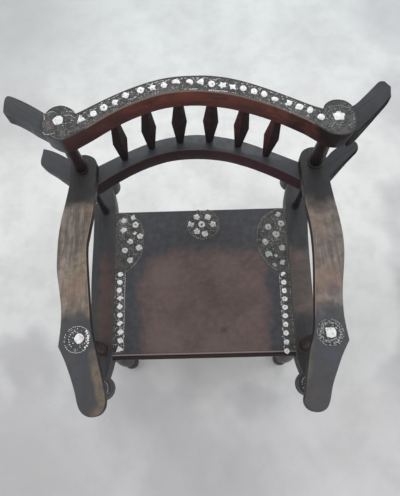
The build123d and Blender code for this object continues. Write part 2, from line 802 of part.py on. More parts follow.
cross_ends = {}
for name, side in sides.items():
    ends = stretcher_ends[name]
    length = (ends["rear"] - ends["front"]).length - 2 * stretcher_start
    middle = (ends["rear"] + ends["front"]) / 2
    cross_ends[name] = middle + Vector(-side * (stretcher_radius - cross_tenon_length), 0, 0)
    blank = make_stretcher(stretcher_plane(name, "front", stretcher_start), length, stretcher_end_radius)
    bore_start = cross_ends[name] + Vector(side * bore_end_clearance, 0, 0)
    with BuildPart() as side_stretcher:
        add(blank)
        with Locations(Plane(origin=bore_start, z_dir=(-side, 0, 0))):
            Cylinder(
                cross_end_radius + tenon_clearance,
                stretcher_radius,
                align=standing,
                mode=Mode.SUBTRACT,
            )
    side_stretcher.part.label = f"side_stretcher_{name}"
    export_step(side_stretcher.part, f"parts/side_stretcher_{name}.step")

cross_run = cross_ends["right"] - cross_ends["left"]
cross_plane = Plane(origin=cross_ends["left"], z_dir=cross_run)
cross_stretcher = make_stretcher(cross_plane, cross_run.length, cross_end_radius)
cross_stretcher.label = "cross_stretcher"
export_step(cross_stretcher, "parts/cross_stretcher.step")
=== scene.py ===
import bpy
import bmesh
import math
import random
from mathutils import Matrix, Vector
from mathutils.geometry import interpolate_bezier


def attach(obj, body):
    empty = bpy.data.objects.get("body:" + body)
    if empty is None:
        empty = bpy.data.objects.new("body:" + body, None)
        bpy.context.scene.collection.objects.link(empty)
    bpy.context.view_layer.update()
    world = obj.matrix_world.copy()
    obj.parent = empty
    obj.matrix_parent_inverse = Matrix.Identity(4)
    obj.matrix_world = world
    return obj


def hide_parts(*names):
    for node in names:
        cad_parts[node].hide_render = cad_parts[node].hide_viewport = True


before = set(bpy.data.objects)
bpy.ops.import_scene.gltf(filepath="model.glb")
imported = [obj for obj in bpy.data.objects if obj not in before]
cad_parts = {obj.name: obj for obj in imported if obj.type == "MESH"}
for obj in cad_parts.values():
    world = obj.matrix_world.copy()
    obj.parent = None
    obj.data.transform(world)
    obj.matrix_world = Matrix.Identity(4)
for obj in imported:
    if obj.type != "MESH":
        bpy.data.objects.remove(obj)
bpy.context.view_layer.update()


# Legs: four turned hardwood legs, stained nearly black, with a ball foot, a long vase
# and a thick round block at the top, where the side rail's tenon and the stretchers go in.
# All sizes are in millimetres, and become metres where a mesh or a length is made.
def paint(red, green, blue):
    """A colour read off in ordinary screen values, as the shader wants it."""
    tones = [value / 255 for value in (red, green, blue)]
    return [t / 12.92 if t <= 0.04045 else ((t + 0.055) / 1.055) ** 2.4 for t in tones] + [1.0]


def metres(*lengths):
    return Vector([length / 1000 for length in lengths])


def add_node(tree, kind, sockets=None, **settings):
    """Adds a node, sets it up, and links or fills the sockets that are named or numbered."""
    node = tree.nodes.new(kind)
    for name, value in settings.items():
        setattr(node, name, value)
    for name, value in (sockets or {}).items():
        if isinstance(value, bpy.types.NodeSocket):
            tree.links.new(value, node.inputs[name])
        else:
            node.inputs[name].default_value = value
    return node


def between(tree, value, low, high, start=0.0, end=1.0):
    """Maps a value from one range to another, held at both ends."""
    return add_node(tree, "ShaderNodeMapRange", {"Value": value, "From Min": low, "From Max": high, "To Min": start,
                                                "To Max": end}, interpolation_type="SMOOTHSTEP").outputs[0]


def math_of(tree, operation, first, second):
    """One sum on values that change over the surface."""
    return add_node(tree, "ShaderNodeMath", {0: first, 1: second}, operation=operation).outputs[0]


def times(tree, first, second):
    return math_of(tree, "MULTIPLY", first, second)


def how_far(tree, place, mark, way="DISTANCE"):
    """How far a place is from a mark, or along a direction."""
    return add_node(tree, "ShaderNodeVectorMath", {0: place, 1: mark}, operation=way).outputs["Value"]


def noise(tree, place, scale, detail=2.0, roughness=0.5, distortion=0.0):
    return add_node(tree, "ShaderNodeTexNoise", {"Vector": place, "Scale": scale, "Detail": detail,
                                                 "Roughness": roughness, "Distortion": distortion}).outputs[0]


def shade_over(tree, mask, below, above):
    """Lays one colour over another where a mask says so. The numbers are the node's colour sockets."""
    return add_node(tree, "ShaderNodeMix", {0: mask, 6: below, 7: above}, data_type="RGBA").outputs[2]


def new_effect(name, outputs, **values):
    """An empty shader group that is given a place and some named values, and puts out named masks."""
    effect = bpy.data.node_groups.new(name, "ShaderNodeTree")
    effect.interface.new_socket("Vector", in_out="INPUT", socket_type="NodeSocketVector")
    for title, value in values.items():
        effect.interface.new_socket(title, in_out="INPUT", socket_type="NodeSocketFloat").default_value = value
    for title in outputs:
        effect.interface.new_socket(title, in_out="OUTPUT", socket_type="NodeSocketFloat")
    return effect, effect.nodes.new("NodeGroupInput").outputs, effect.nodes.new("NodeGroupOutput").inputs


# The long dark streaks of the wood and its short fine fibres
grain, given, result = new_effect("wood grain", ["Streaks", "Fibres"], Scale=90.0)
broad = noise(grain, given["Vector"], given["Scale"], 4.0, 0.6, 0.5)
grain.links.new(between(grain, broad, 0.34, 0.66), result["Streaks"])
thin = noise(grain, given["Vector"], times(grain, given["Scale"], 5.0))
grain.links.new(between(grain, thin, 0.38, 0.62), result["Fibres"])

# Years of handling: wide cloudy patches and smaller smudges
patina, given, result = new_effect("patina", ["Clouds", "Smudges"], Scale=14.0)
cloud = noise(patina, given["Vector"], given["Scale"], 3.0, 0.55)
patina.links.new(between(patina, cloud, 0.36, 0.64), result["Clouds"])
smudge = noise(patina, given["Vector"], times(patina, given["Scale"], 4.3), 5.0, 0.65)
patina.links.new(between(patina, smudge, 0.40, 0.66), result["Smudges"])

# Stain rubbed off the edges that hands and clothes touch
edge_wear, given, result = new_effect("edge wear", ["Mask"], Amount=0.5)
edge = add_node(edge_wear, "ShaderNodeAttribute", attribute_name="wear").outputs["Fac"]
patchy = times(edge_wear, noise(edge_wear, given["Vector"], 60.0, 4.0, 0.6), 0.9)
held = math_of(edge_wear, "SUBTRACT", math_of(edge_wear, "ADD", edge, given["Amount"]), 1.0)
reach = between(edge_wear, math_of(edge_wear, "ADD", held, patchy), 0.42, 0.72)
edge_wear.links.new(times(edge_wear, reach, edge), result["Mask"])


def effect_of(tree, group, **values):
    """Places a shader group in a material with its own values."""
    return add_node(tree, "ShaderNodeGroup", values, node_tree=group).outputs


def new_material(name):
    """A material with its nodes, its shader and the place on the piece."""
    material = bpy.data.materials.new(name)
    material.use_nodes = True
    tree = material.node_tree
    return material, tree, tree.nodes["Principled BSDF"], add_node(tree, "ShaderNodeTexCoord").outputs["Object"]


def surface(tree, shader, colour, dullness, height=None, strength=0.3, depth=0.3):
    """Gives a shader its colour, its roughness and, where there is a height, its relief."""
    tree.links.new(colour, shader.inputs["Base Color"])
    if height is None:
        shader.inputs["Roughness"].default_value = dullness
        return
    tree.links.new(dullness, shader.inputs["Roughness"])
    bump = add_node(tree, "ShaderNodeBump", {"Height": height, "Strength": strength, "Distance": depth / 1000})
    tree.links.new(bump.outputs[0], shader.inputs["Normal"])


class Finish:
    """A wood finish that a section can lay further tones over."""

    def __init__(self, name, deep, warm, worn, along, rubbed=0.4, shine=0.5, cloudy=0.5, turn=0.0, gloss=0.35,
                 fine=0.22):
        self.material, self.tree, self.shader, self.place = new_material(name)
        faced = add_node(self.tree, "ShaderNodeMapping",
                         {"Vector": self.place, "Rotation": (0, 0, math.radians(-turn))}).outputs[0]
        drawn_out = [0.07 if axis == along else 1 for axis in "XYZ"]
        drawn = add_node(self.tree, "ShaderNodeMapping", {"Vector": faced, "Scale": drawn_out}).outputs[0]
        lines = effect_of(self.tree, grain, Vector=drawn, Scale=110.0)
        self.streaks, self.fibres = lines["Streaks"], lines["Fibres"]
        patches = effect_of(self.tree, patina, Vector=self.place, Scale=14.0)
        self.clouds, self.smudges = patches["Clouds"], patches["Smudges"]
        self.edges = effect_of(self.tree, edge_wear, Vector=self.place, Amount=rubbed)["Mask"]
        self.colour = shade_over(self.tree, self.streaks, paint(*deep), paint(*warm))
        self.lay(self.clouds, [(a + b) * 0.58 for a, b in zip(deep, warm)], cloudy)
        self.lay(self.fibres, [tone * 0.6 for tone in deep], fine)
        self.shader.inputs["Specular IOR Level"].default_value = gloss
        self.worn = worn
        self.shine = shine

    def lay(self, mask, tone, much=1.0):
        """Lays a tone over the wood where the mask is."""
        self.colour = shade_over(self.tree, times(self.tree, mask, much), self.colour, paint(*tone))

    def ragged(self, value, reach):
        """Moves a mask's edge in and out by a few millimetres."""
        shift = times(self.tree, math_of(self.tree, "SUBTRACT", self.clouds, 0.5), reach / 1000)
        return math_of(self.tree, "ADD", value, shift)

    def along(self, run, low, high):
        """A mask that rises between two places, in millimetres, along a direction."""
        far = how_far(self.tree, self.place, run, "DOT_PRODUCT")
        return between(self.tree, self.ragged(far, abs(high - low) * 0.6), low / 1000, high / 1000)

    def spots(self, level, *places):
        """A mask round places at one level, each with its radius, and with soft uneven edges."""
        masks = []
        for x, y, radius in places:
            far = self.ragged(how_far(self.tree, self.place, metres(x, y, level)), radius * 0.5)
            masks.append(between(self.tree, far, radius / 1000, radius * 0.3 / 1000))
        return self.any_of(*masks)

    def facing(self, axis, low, high):
        """A mask of the faces that look one way."""
        normal = add_node(self.tree, "ShaderNodeNewGeometry").outputs["Normal"]
        return between(self.tree, add_node(self.tree, "ShaderNodeSeparateXYZ", {0: normal}).outputs[axis], low, high)

    def all_of(self, whole, *masks):
        """Where every one of the masks is."""
        for mask in masks:
            whole = times(self.tree, whole, mask)
        return whole

    def any_of(self, whole, *masks):
        """Where at least one of the masks is."""
        for mask in masks:
            whole = math_of(self.tree, "MAXIMUM", whole, mask)
        return whole

    def done(self):
        """Puts the wear on top, then the sheen and the relief."""
        self.lay(self.edges, self.worn)
        dullness = between(self.tree, self.smudges, 0.0, 1.0, self.shine - 0.04, self.shine + 0.12)
        rise = math_of(self.tree, "ADD", times(self.tree, self.fibres, -0.5), times(self.tree, self.smudges, 0.4))
        surface(self.tree, self.shader, self.colour, dullness, rise, depth=0.5)
        return self.material


def flowing(points, steps=4):
    """A smooth line through given points, all of which it keeps."""
    knots = [Vector((x, y, 0)) for x, y in points]
    line = []
    for number, (start, end) in enumerate(zip(knots, knots[1:])):
        before = knots[max(number - 1, 0)]
        after = knots[min(number + 2, len(knots) - 1)]
        curve = interpolate_bezier(start, start + (end - before) / 6, end - (after - start) / 6, end, steps + 1)
        line += [(spot.x, spot.y) for spot in curve[:-1]]
    return line + [points[-1]]


def bead(low, high, inner, outer):
    """The (height, radius) points of a half-round bead between two heights."""
    turns = [math.pi * number / 6 for number in range(7)]
    return [(low + (high - low) * (1 - math.cos(a)) / 2, inner + (outer - inner) * math.sin(a)) for a in turns]


def turned(profile, steps=48):
    """Spins (height, radius) points about the upright axis, closed at both ends."""
    shape = bmesh.new()
    spots = [(profile[0][0], 0)] + profile + [(profile[-1][0], 0)]
    rim = [shape.verts.new(metres(radius, 0, height)) for height, radius in spots]
    line = [shape.edges.new(pair) for pair in zip(rim, rim[1:])]
    bmesh.ops.spin(shape, geom=rim + line, axis=(0, 0, 1), cent=(0, 0, 0), angle=math.tau, steps=steps,
                   use_merge=True)
    bmesh.ops.remove_doubles(shape, verts=shape.verts, dist=1e-6)
    bmesh.ops.recalc_face_normals(shape, faces=shape.faces)
    return shape


def moved(shape, x=0, y=0, z=0):
    bmesh.ops.translate(shape, verts=shape.verts, vec=metres(x, y, z))
    return shape


def finished(shape, name, finishes, slot, *nodes, rubbed=None):
    """Makes the shape a piece of the chair, with its outer edges marked for wear."""
    wear = shape.verts.layers.float.new("wear")
    shape.normal_update()
    least_bend, full_bend = 0.3, 0.5
    for vert in shape.verts:
        bend = max([edge.calc_face_angle_signed(0) for edge in vert.link_edges], default=0)
        vert[wear] = min(max((bend - least_bend) / (full_bend - least_bend), 0), 1)
        if rubbed:
            vert[wear] = rubbed(vert, vert[wear])
    mesh = bpy.data.meshes.new(name)
    shape.to_mesh(mesh)
    shape.free()
    mesh.shade_smooth()
    mesh.set_sharp_from_angle(angle=math.radians(42))
    for finish in finishes:
        mesh.materials.append(finish)
    piece = bpy.data.objects.new(name, mesh)
    bpy.context.collection.objects.link(piece)
    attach(piece, "root")
    if nodes:
        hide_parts(*nodes)


wood = Finish("dark turned hardwood", deep=(36, 28, 29), warm=(52, 41, 40), worn=(80, 69, 66), along="Z",
              rubbed=0.3, shine=0.42)
wood.lay(wood.clouds, (58, 36, 35), 0.25)
wood.lay(wood.along((0, 0, -1), -95, -35), (76, 69, 69), 0.75)
turned_wood = wood.done()

rear_post = (268.5, 204.6)
front_post = (257.0, -180.8)
side_rail_base = 405
sides = {"left": -1, "right": 1}
leg_profile = (
    [(0, 13.5), (2, 17), (7, 21.2), (14, 23.4), (22.5, 24), (30, 22.8), (36.5, 19.6), (41.5, 15.4), (44, 12.8)]
    + bead(45, 52, 12.5, 17.0)
    + flowing([(52.7, 14.6), (69, 18.4), (95, 21.4), (122, 22.6), (170, 22.1), (243, 16.4), (300, 13.8)])
    + bead(301, 309, 13.5, 18.5) + bead(309.5, 314, 15, 17.5)
    + flowing([(315, 15.5), (320, 20), (328, 23)]) + [(398, 23), (402, 22.4), (side_rail_base, 20.5)]
)
for side, sign in sides.items():
    for end, (x, y) in {"front": front_post, "rear": rear_post}.items():
        finished(moved(turned(leg_profile), sign * x, y), f"{end}_leg_turned_{side}", [turned_wood],
                 "turned_wood", f"{end}_leg_{side}")


# Stretchers: two turned side stretchers from front leg to rear leg, and a cross stretcher
# tenoned into their swellings. The photograph hides them, so they follow the legs' turning.
stretcher_level = 150


def laid(shape, start, end):
    """Lays an upright turned piece down, from one point of the plan to another."""
    run = Vector((end[0] - start[0], end[1] - start[1], 0))
    facing = Vector((0, 0, 1)).rotation_difference(run.normalized()).to_matrix().to_4x4()
    bmesh.ops.transform(shape, matrix=facing, verts=shape.verts)
    return moved(shape, *start, stretcher_level)


def stretcher_profile(length, thin, thick):
    middle = length / 2
    half = [(0, thin)] + bead(24, 30, thin, thin + 2.4) + flowing(
        [(31, thin - 0.6), (length * 0.2, thin + 0.8), (length * 0.36, thick - 1.6), (middle - 11, thick - 1)])
    half += bead(middle - 10, middle - 5.5, thick - 2.5, thick)
    return half + [(length - height, radius) for height, radius in half[::-1]]


for side, sign in sides.items():
    start, end = (sign * 257.5, -160.5), (sign * 268.0, 184.3)
    finished(laid(turned(stretcher_profile(344.9, 8, 13), 32), start, end), f"side_stretcher_turned_{side}",
             [turned_wood], "turned_wood", f"side_stretcher_{side}")
finished(laid(turned(stretcher_profile(507, 6.5, 13), 32), (-253.5, 11.9), (253.5, 11.9)),
         "cross_stretcher_turned", [turned_wood], "turned_wood", "cross_stretcher")


# Side rails: thick boards beside the seat, stained blue-black, with a round disc at each end
# and eased edges. The left one is worn to brown along its inner half, the right one in its
# middle and in three patches there.
def arc(centre, radius, start, end, count):
    """Points round part of a circle, between two angles in degrees."""
    turns = [math.radians(start + (end - start) * number / count) for number in range(count + 1)]
    return [(centre[0] + radius * math.cos(a), centre[1] + radius * math.sin(a)) for a in turns]


def joined(*runs):
    """One outline from several runs, without the points that two runs share."""
    outline = []
    for spot in [spot for run in runs for spot in run]:
        if not outline or math.dist(outline[-1], spot) > 0.3:
            outline.append(spot)
    return outline[:-1] if math.dist(outline[0], outline[-1]) < 0.3 else outline


def softened(shape, edges, width, segments=3):
    """Rounds edges, as a plane or long use does."""
    bmesh.ops.bevel(shape, geom=edges, offset=width / 1000, offset_type="OFFSET", segments=segments, profile=0.5,
                    affect="EDGES", material=-1, clamp_overlap=True)
    return shape


def pushed(shape, face, *way):
    """Extrudes a face by a length each way, and turns all the faces outwards."""
    grown = bmesh.ops.extrude_face_region(shape, geom=[face])["geom"]
    bmesh.ops.translate(shape, verts=[v for v in grown if isinstance(v, bmesh.types.BMVert)], vec=metres(*way))
    bmesh.ops.recalc_face_normals(shape, faces=shape.faces)
    return shape


def slab(outline, low, high, sign=1):
    """A board with straight sides, from its outline in plan, mirrored for the left."""
    shape = bmesh.new()
    corners = [shape.verts.new(metres(sign * x, y, low)) for x, y in outline]
    return pushed(shape, shape.faces.new(corners), 0, 0, high - low)


def board(outline, low, high, width, sign=1):
    """A slab whose top and underside have rounded rims."""
    shape = slab(outline, low, high, sign)
    rims = [edge for edge in shape.edges if abs(edge.verts[0].co.z - edge.verts[1].co.z) < 1e-6
            and edge.calc_face_angle(0) > math.radians(30)]
    return softened(shape, rims, width)


seat_top = 450
front_disc = (260.0, -273.9)
rear_disc = (268.1, 300.0)
side_bellies = {
    "left": [(282.3, -180.8), (291.5, -109.9), (297.2, -20.1), (298.6, 40), (299, 110), (300.3, 203.9)],
    "right": [(282.3, -180.8), (288.4, -109.9), (291.4, -20.1), (292.6, 40), (295, 110), (300.3, 203.9)],
}
for side, sign in sides.items():
    wood = Finish(f"blue-black stained wood {side}", deep=(54, 56, 59), warm=(66, 65, 67), worn=(104, 96, 92),
                  along="Y", rubbed=0.2)
    if side == "left":
        bare = wood.all_of(wood.along((1, 0, 0), -282, -262), wood.along((0, -1, 0), -140, -60),
                           wood.along((0, 1, 0), -176, -140))
        wood.lay(bare, (80, 66, 63), 0.8)
        wood.lay(wood.all_of(bare, wood.clouds), (98, 78, 72), 0.5)
    else:
        middle = wood.all_of(wood.along((0, -1, 0), -120, -40), wood.along((0, 1, 0), -140, -90))
        wood.lay(middle, (104, 93, 88), 0.72)
        wood.lay(wood.spots(seat_top, (266, 52, 26), (278, -68, 22), (258, -84, 16)), (122, 104, 99), 0.42)
        # Painted shade: the right rail's front end, under the arm, is painted darker.
        wood.lay(wood.along((0, -1, 0), 150, 200), (42, 43, 46), 0.9)
    wood.lay(wood.smudges, (50, 50, 54), 0.25)
    side_outline = joined(
        flowing(side_bellies[side] + [(292.5, 250), (284.7, 275)]),
        arc(rear_disc, 29.9, -56.4, 236.4, 26),
        flowing([(251.5, 275), (244.2, 245.9), (240.6, 221.1), (239.5, 199)]),
        [(239.5, 199), (232.5, -205.9)],
        flowing([(232.5, -205.9), (237.0, -228), (243.4, -248.9)], 3),
        arc(front_disc, 29.9, -236.4, 56.4, 26),
        flowing([(276.6, -248.9), (279.6, -215), (282.3, -180.8)], 3),
    )
    finished(board(side_outline, side_rail_base, seat_top, 2.2, sign), f"side_rail_board_{side}", [wood.done()],
             "dark_stained_wood", f"side_rail_{side}")


# Side rail ends: each front disc has a ring of thin pearl slips let into it, whole on the
# left and worn down to single specks on the right. The rear discs have a fine scribed line.
flecks, given, result = new_effect("inlay flecks", ["Flecks", "Body"], Scale=300.0, Amount=0.5)
cells = add_node(flecks, "ShaderNodeTexVoronoi", {"Vector": given["Vector"], "Scale": given["Scale"]})
chance = add_node(flecks, "ShaderNodeSeparateColor", {0: cells.outputs["Color"]}).outputs[0]
small = between(flecks, cells.outputs["Distance"], 0.20, 0.36, 1.0, 0.0)
picked = math_of(flecks, "GREATER_THAN", given["Amount"], chance)
flecks.links.new(times(flecks, small, picked), result["Flecks"])
clotted = noise(flecks, given["Vector"], 60.0, 4.0, distortion=1.5)
flecks.links.new(between(flecks, clotted, 0.38, 0.62), result["Body"])


def pearl_finish(name, tone, shadow):
    """Mother-of-pearl: milky, with random grey patches of painted shade, and soft pink and green drifts under its
    polish.
    """
    material, tree, shader, place = new_material(name)
    drift = noise(tree, place, 210.0, 3.0, 0.6, 1.2)
    hue = noise(tree, place, 60.0, 1.0)
    base = shade_over(tree, between(tree, drift, 0.46, 0.66), paint(*tone), paint(*shadow))
    base = shade_over(tree, times(tree, between(tree, hue, 0.52, 0.66), 0.25), base, paint(226, 196, 204))
    base = shade_over(tree, times(tree, between(tree, hue, 0.48, 0.36), 0.2), base, paint(192, 214, 206))
    shader.inputs["Coat Weight"].default_value = 0.25
    shader.inputs["Coat Roughness"].default_value = 0.12
    surface(tree, shader, base, between(tree, drift, 0.3, 0.7, 0.16, 0.36), drift, 0.25, 0.4)
    return material


pearl = pearl_finish("mother-of-pearl", (250, 250, 248), (188, 188, 190))
grey_pearl = pearl_finish("greyed mother-of-pearl", (224, 224, 221), (106, 106, 107))
smoked_pearl = pearl_finish("smoked mother-of-pearl", (178, 178, 174), (94, 94, 95))
dull_pearl = pearl_finish("worn pearl slips", (182, 182, 179), (104, 104, 103))
hollow, tree, shader, place = new_material("dark filling in the pearl")
surface(tree, shader, shade_over(tree, noise(tree, place, 400.0), paint(40, 40, 42), paint(92, 90, 88)), 0.7)

chance_of = random.Random(7)


def slip(shape, x, y, top, length, width, angle):
    """Adds one thin inlaid slip, a little tapered towards its top."""
    spin = Matrix.Rotation(math.radians(angle), 4, "Z")
    thickness = 0.8
    size = Matrix.Diagonal((*metres(length, width, thickness), 1))
    square = Matrix.Rotation(math.pi / 4, 4, "Z")
    spot = Matrix.Translation(metres(x, y, top - thickness / 2))
    bmesh.ops.create_cone(shape, cap_ends=True, cap_tris=False, segments=4, radius1=0.707, radius2=0.6, depth=1,
                          matrix=spot @ spin @ size @ square)


def slips_along(shape, line, spacing, top, width, fill=0.7, keep=1.0, wander=0.3):
    """Lays slips one after another along a line, apart from those that have been lost."""
    reached = spacing / 2
    for start, end in zip(line, line[1:]):
        run = Vector(end) - Vector(start)
        while reached < run.length:
            spot = Vector(start) + run * (reached / run.length)
            if chance_of.random() < keep:
                slip(shape, spot.x + chance_of.uniform(-wander, wander), spot.y + chance_of.uniform(-wander, wander),
                     top, spacing * fill * chance_of.uniform(0.75, 1.1), width * chance_of.uniform(0.8, 1.15),
                     math.degrees(math.atan2(run.y, run.x)))
            reached += spacing
        reached -= run.length


for side, sign in sides.items():
    ring = bmesh.new()
    centre = (sign * front_disc[0], front_disc[1])
    if side == "left":
        slips_along(ring, arc(centre, 20, -170, 120, 30), 2.3, seat_top + 0.25, 1.5, 0.96)
        slips_along(ring, arc(centre, 24.5, -120, -20, 12), 3.6, seat_top + 0.2, 0.9, 0.8)
    else:
        slips_along(ring, arc(centre, 20, 90, 270, 20), 3.8, seat_top + 0.25, 2.2, 0.7, 0.85, 0.6)
        slips_along(ring, arc(centre, 13, 60, 330, 20), 5, seat_top + 0.2, 2.2, 0.4, 0.8, 0.6)
    slips_along(ring, arc((sign * rear_disc[0], rear_disc[1]), 21, 150, 400, 24), 2.3, seat_top + 0.15, 0.6, 1.0)
    finished(ring, f"disc_slips_{side}", [dull_pearl], "pearl", f"side_rail_ring_{side}")


# Under the seat: the front and back seat rails and the ledges that carry the panel, and the
# pegs that pin the side rails' joints. Their plain shapes stay as they are.
def dressed(material, *nodes):
    for node in nodes:
        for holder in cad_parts[node].material_slots:
            holder.material = material


dressed(Finish("stained seat rail", deep=(34, 28, 29), warm=(50, 41, 40), worn=(90, 76, 70), along="X").done(),
        "seat_front_rail", "seat_back_rail")
dressed(Finish("plain wood under the seat", deep=(74, 56, 44), warm=(104, 80, 62), worn=(132, 108, 88),
               along="Y", shine=0.55).done(), "seat_ledge_left", "seat_ledge_right")
dressed(Finish("pale end grain", deep=(70, 60, 54), warm=(90, 76, 66), worn=(130, 110, 92), along="X").done(),
        "side_rail_pegs_left", "side_rail_pegs_right")


# Seat panel: one wide board, brown and mottled where people sit and blue-black at its edges,
# with a scratched bead along the rounded front edge. It lies on the ledges and the seat rails.
wood = Finish("sat-on seat board", deep=(92, 76, 76), warm=(99, 83, 81), worn=(144, 127, 122), along="X",
              rubbed=0.55, shine=0.52, cloudy=0.7, fine=0.05)
wood.lay(wood.smudges, (122, 107, 102), 0.42)
wood.lay(wood.streaks, (90, 73, 75), 0.06)
wood.lay(wood.spots(seat_top, (54, -137, 17)), (62, 47, 49), 0.6)
wood.lay(wood.spots(seat_top, (14, -44, 46), (-66, -96, 38), (110, -60, 60)), (76, 60, 61), 0.3)
wood.lay(wood.spots(seat_top, (-95, -150, 60), (30, -170, 45), (-100, 10, 60), (60, 30, 44)), (120, 105, 100), 0.42)
margin = wood.any_of(
    wood.along((0, 1, 0), 54, 96), wood.along((-0.9957, 0.0925, 0), 148, 182),
    wood.along((-0.85, 0.53, 0), 130, 172), wood.along((1, 0, 0), 156, 187),
    wood.all_of(wood.along((-1, 0, 0), 136, 170), wood.along((0, -1, 0), 20, 90)),
    wood.along((0.8, 0.6, 0), 146, 188))
wood.lay(margin, (63, 65, 69), 0.92)
wood.lay(wood.all_of(margin, wood.smudges), (92, 97, 104), 0.32)
# Painted shade: the groove in front of the bead, the nosing, and the board's front, back and right side faces are
# painted nearly black.
wood.lay(wood.along((0, -1, 0), 197.2, 198.6), (40, 30, 31), 0.93)
wood.lay(wood.any_of(wood.facing("Y", -0.35, -0.7), wood.facing("Y", 0.5, 0.8), wood.facing("X", 0.5, 0.8)),
         (27, 22, 23), 0.95)

seat_side = (
    flowing([(-203.2, 432.3), (-205.6, 434.5), (-205.9, 439), (-205.6, 445), (-203.6, 448.6), (-200.8, 449.6)], 2)
    + [(-199.6, 449.5), (-199.0, 448.6), (-198.2, 448.2), (-197.4, 448.6)]
    + flowing([(-197.0, 449.4), (-194.9, seat_top), (-192.6, 449.5)], 3)
    + [(-192.0, 448.9), (-190.6, 449.4), (-189, 449.6), (198.6, 449.6), (199, 449), (199, 432.3)]
)
seat = bmesh.new()
seat_cut = seat.faces.new([seat.verts.new(metres(-230, y, z)) for y, z in seat_side])
pushed(seat, seat_cut, 460, 0, 0)
seat_front, seat_depth, front_half, more_at_back = -205.9, 404.9, 232.3, 7.0
for vert in seat.verts:
    half = front_half + (vert.co.y * 1000 - seat_front) / seat_depth * more_at_back
    vert.co.x = math.copysign(half / 1000, vert.co.x)


def bead_wear(vert, wear):
    """Only the crown of the bead is rubbed bare."""
    return 1.0 if -0.1965 < vert.co.y < -0.1932 and vert.co.z > 0.4496 else 0.0


finished(seat, "seat_board", [wood.done()], "seat_wood", "seat_panel", rubbed=bead_wear)


# Seat inlay: a dark mastic ground full of fine silver dust fills a round at the back and a
# lobe with a long strip in each corner. Pearl chips and slips are pressed into it.
def ground_finish(name, deep, pale, silver, amount, scale, brown=()):
    """Dark mastic with fine bright dust, and brown where the wood shows through."""
    material, tree, shader, place = new_material(name)
    fine = effect_of(tree, flecks, Vector=place, Scale=scale, Amount=amount)
    coarse = effect_of(tree, flecks, Vector=place, Scale=scale * 0.45, Amount=amount * 0.4)
    base = shade_over(tree, fine["Body"], paint(*deep), paint(*pale))
    for x, y, level, radius in brown:
        far = how_far(tree, place, metres(x, y, level))
        base = shade_over(tree, between(tree, far, radius / 1000, radius * 0.4 / 1000, 0.0, 0.7), base,
                          paint(96, 78, 68))
    bright = math_of(tree, "MAXIMUM", fine["Flecks"], times(tree, coarse["Flecks"], 0.8))
    colour = shade_over(tree, times(tree, bright, 0.75), base, paint(*silver))
    surface(tree, shader, colour, between(tree, bright, 0.0, 1.0, 0.6, 0.35), bright)
    return material


seat_mastic = ground_finish("seat mastic", (50, 51, 51), (74, 73, 71), (140, 140, 138), 0.5, 420.0)
lobe_outlines = {
    "left": joined(
        [(-238.0, 196)],
        flowing([(-238.0, 196), (-224.9, 197), (-199.1, 191), (-174, 175), (-159, 146), (-156.5, 110), (-162.5, 74),
                 (-178.5, 46), (-205.3, 22)]),
        [(-205.3, 22), (-204.6, -105), (-202.5, -188), (-230.9, -188), (-233.2, -100), (-235.2, 17)]),
    "right": joined(
        [(238.0, 197)],
        flowing([(238.0, 197), (216, 196.5), (195.5, 188.5), (170, 170), (154.5, 135), (152.7, 92), (160, 62),
                 (175, 38), (190, 24), (205.5, 12)]),
        [(205.5, 12), (204.4, -116), (202.6, -196.4), (230.7, -196.4), (233.2, -100), (235.2, 4)]),
}
mastic_base, mastic_top = seat_top - 1.2, seat_top - 0.15
for side, outline in lobe_outlines.items():
    finished(slab(outline, mastic_base, mastic_top), f"lobe_mastic_{side}", [seat_mastic], "inlay_ground",
             f"seat_inlay_ground_{side}")
round_centre = (6.8, 156.5)
round_outline = joined(arc(round_centre, 46.5, 76, -256, 40) + [(-4.4, 198.6), (18, 198.6)])
finished(slab(round_outline, mastic_base, mastic_top), "round_mastic", [seat_mastic], "inlay_ground",
         "seat_inlay_ground_centre")

# How much larger than the row's common size a shape is cut, and how far each corner reaches
chip_shapes = {
    "round": (1.0, [1, 0.92, 1, 0.86, 0.97, 1, 0.9, 0.99, 0.88, 1]),
    "ring": (1.05, [1, 0.95, 1, 0.93, 1, 0.96, 1, 0.92, 1, 0.97]),
    "square": (1.15, [1, 0.76, 0.96, 0.74, 1, 0.8, 0.92, 0.78]),
    "bitten": (1.1, [1, 0.84, 1, 0.8, 0.98, 0.36, 1, 0.8]),
    "star": (1.25, [1, 0.56, 0.96, 0.6, 1, 0.55, 0.98, 0.58, 1, 0.55]),
    "cross": (1.25, [1, 0.5, 0.95, 0.52, 1, 0.48, 1, 0.5]),
    "triangle": (1.35, [1, 0.66, 0.56, 0.66, 0.98, 0.64, 0.56, 0.62, 1, 0.66, 0.58, 0.64]),
    "crescent": (1.1, [1, 1, 0.98, 0.95, 0.9, 0.3, 0.12, 0.34, 0.9, 0.97]),
    "comma": (1.15, [1, 0.94, 0.86, 0.74, 0.5, 0.34, 0.6, 0.98]),
    "dome": (1.15, [1, 1, 0.97, 1, 1, 0.66, 0.52, 0.66]),
    "rosette": (1.0, [1, 0.95, 0.76, 0.95] * 5),
}


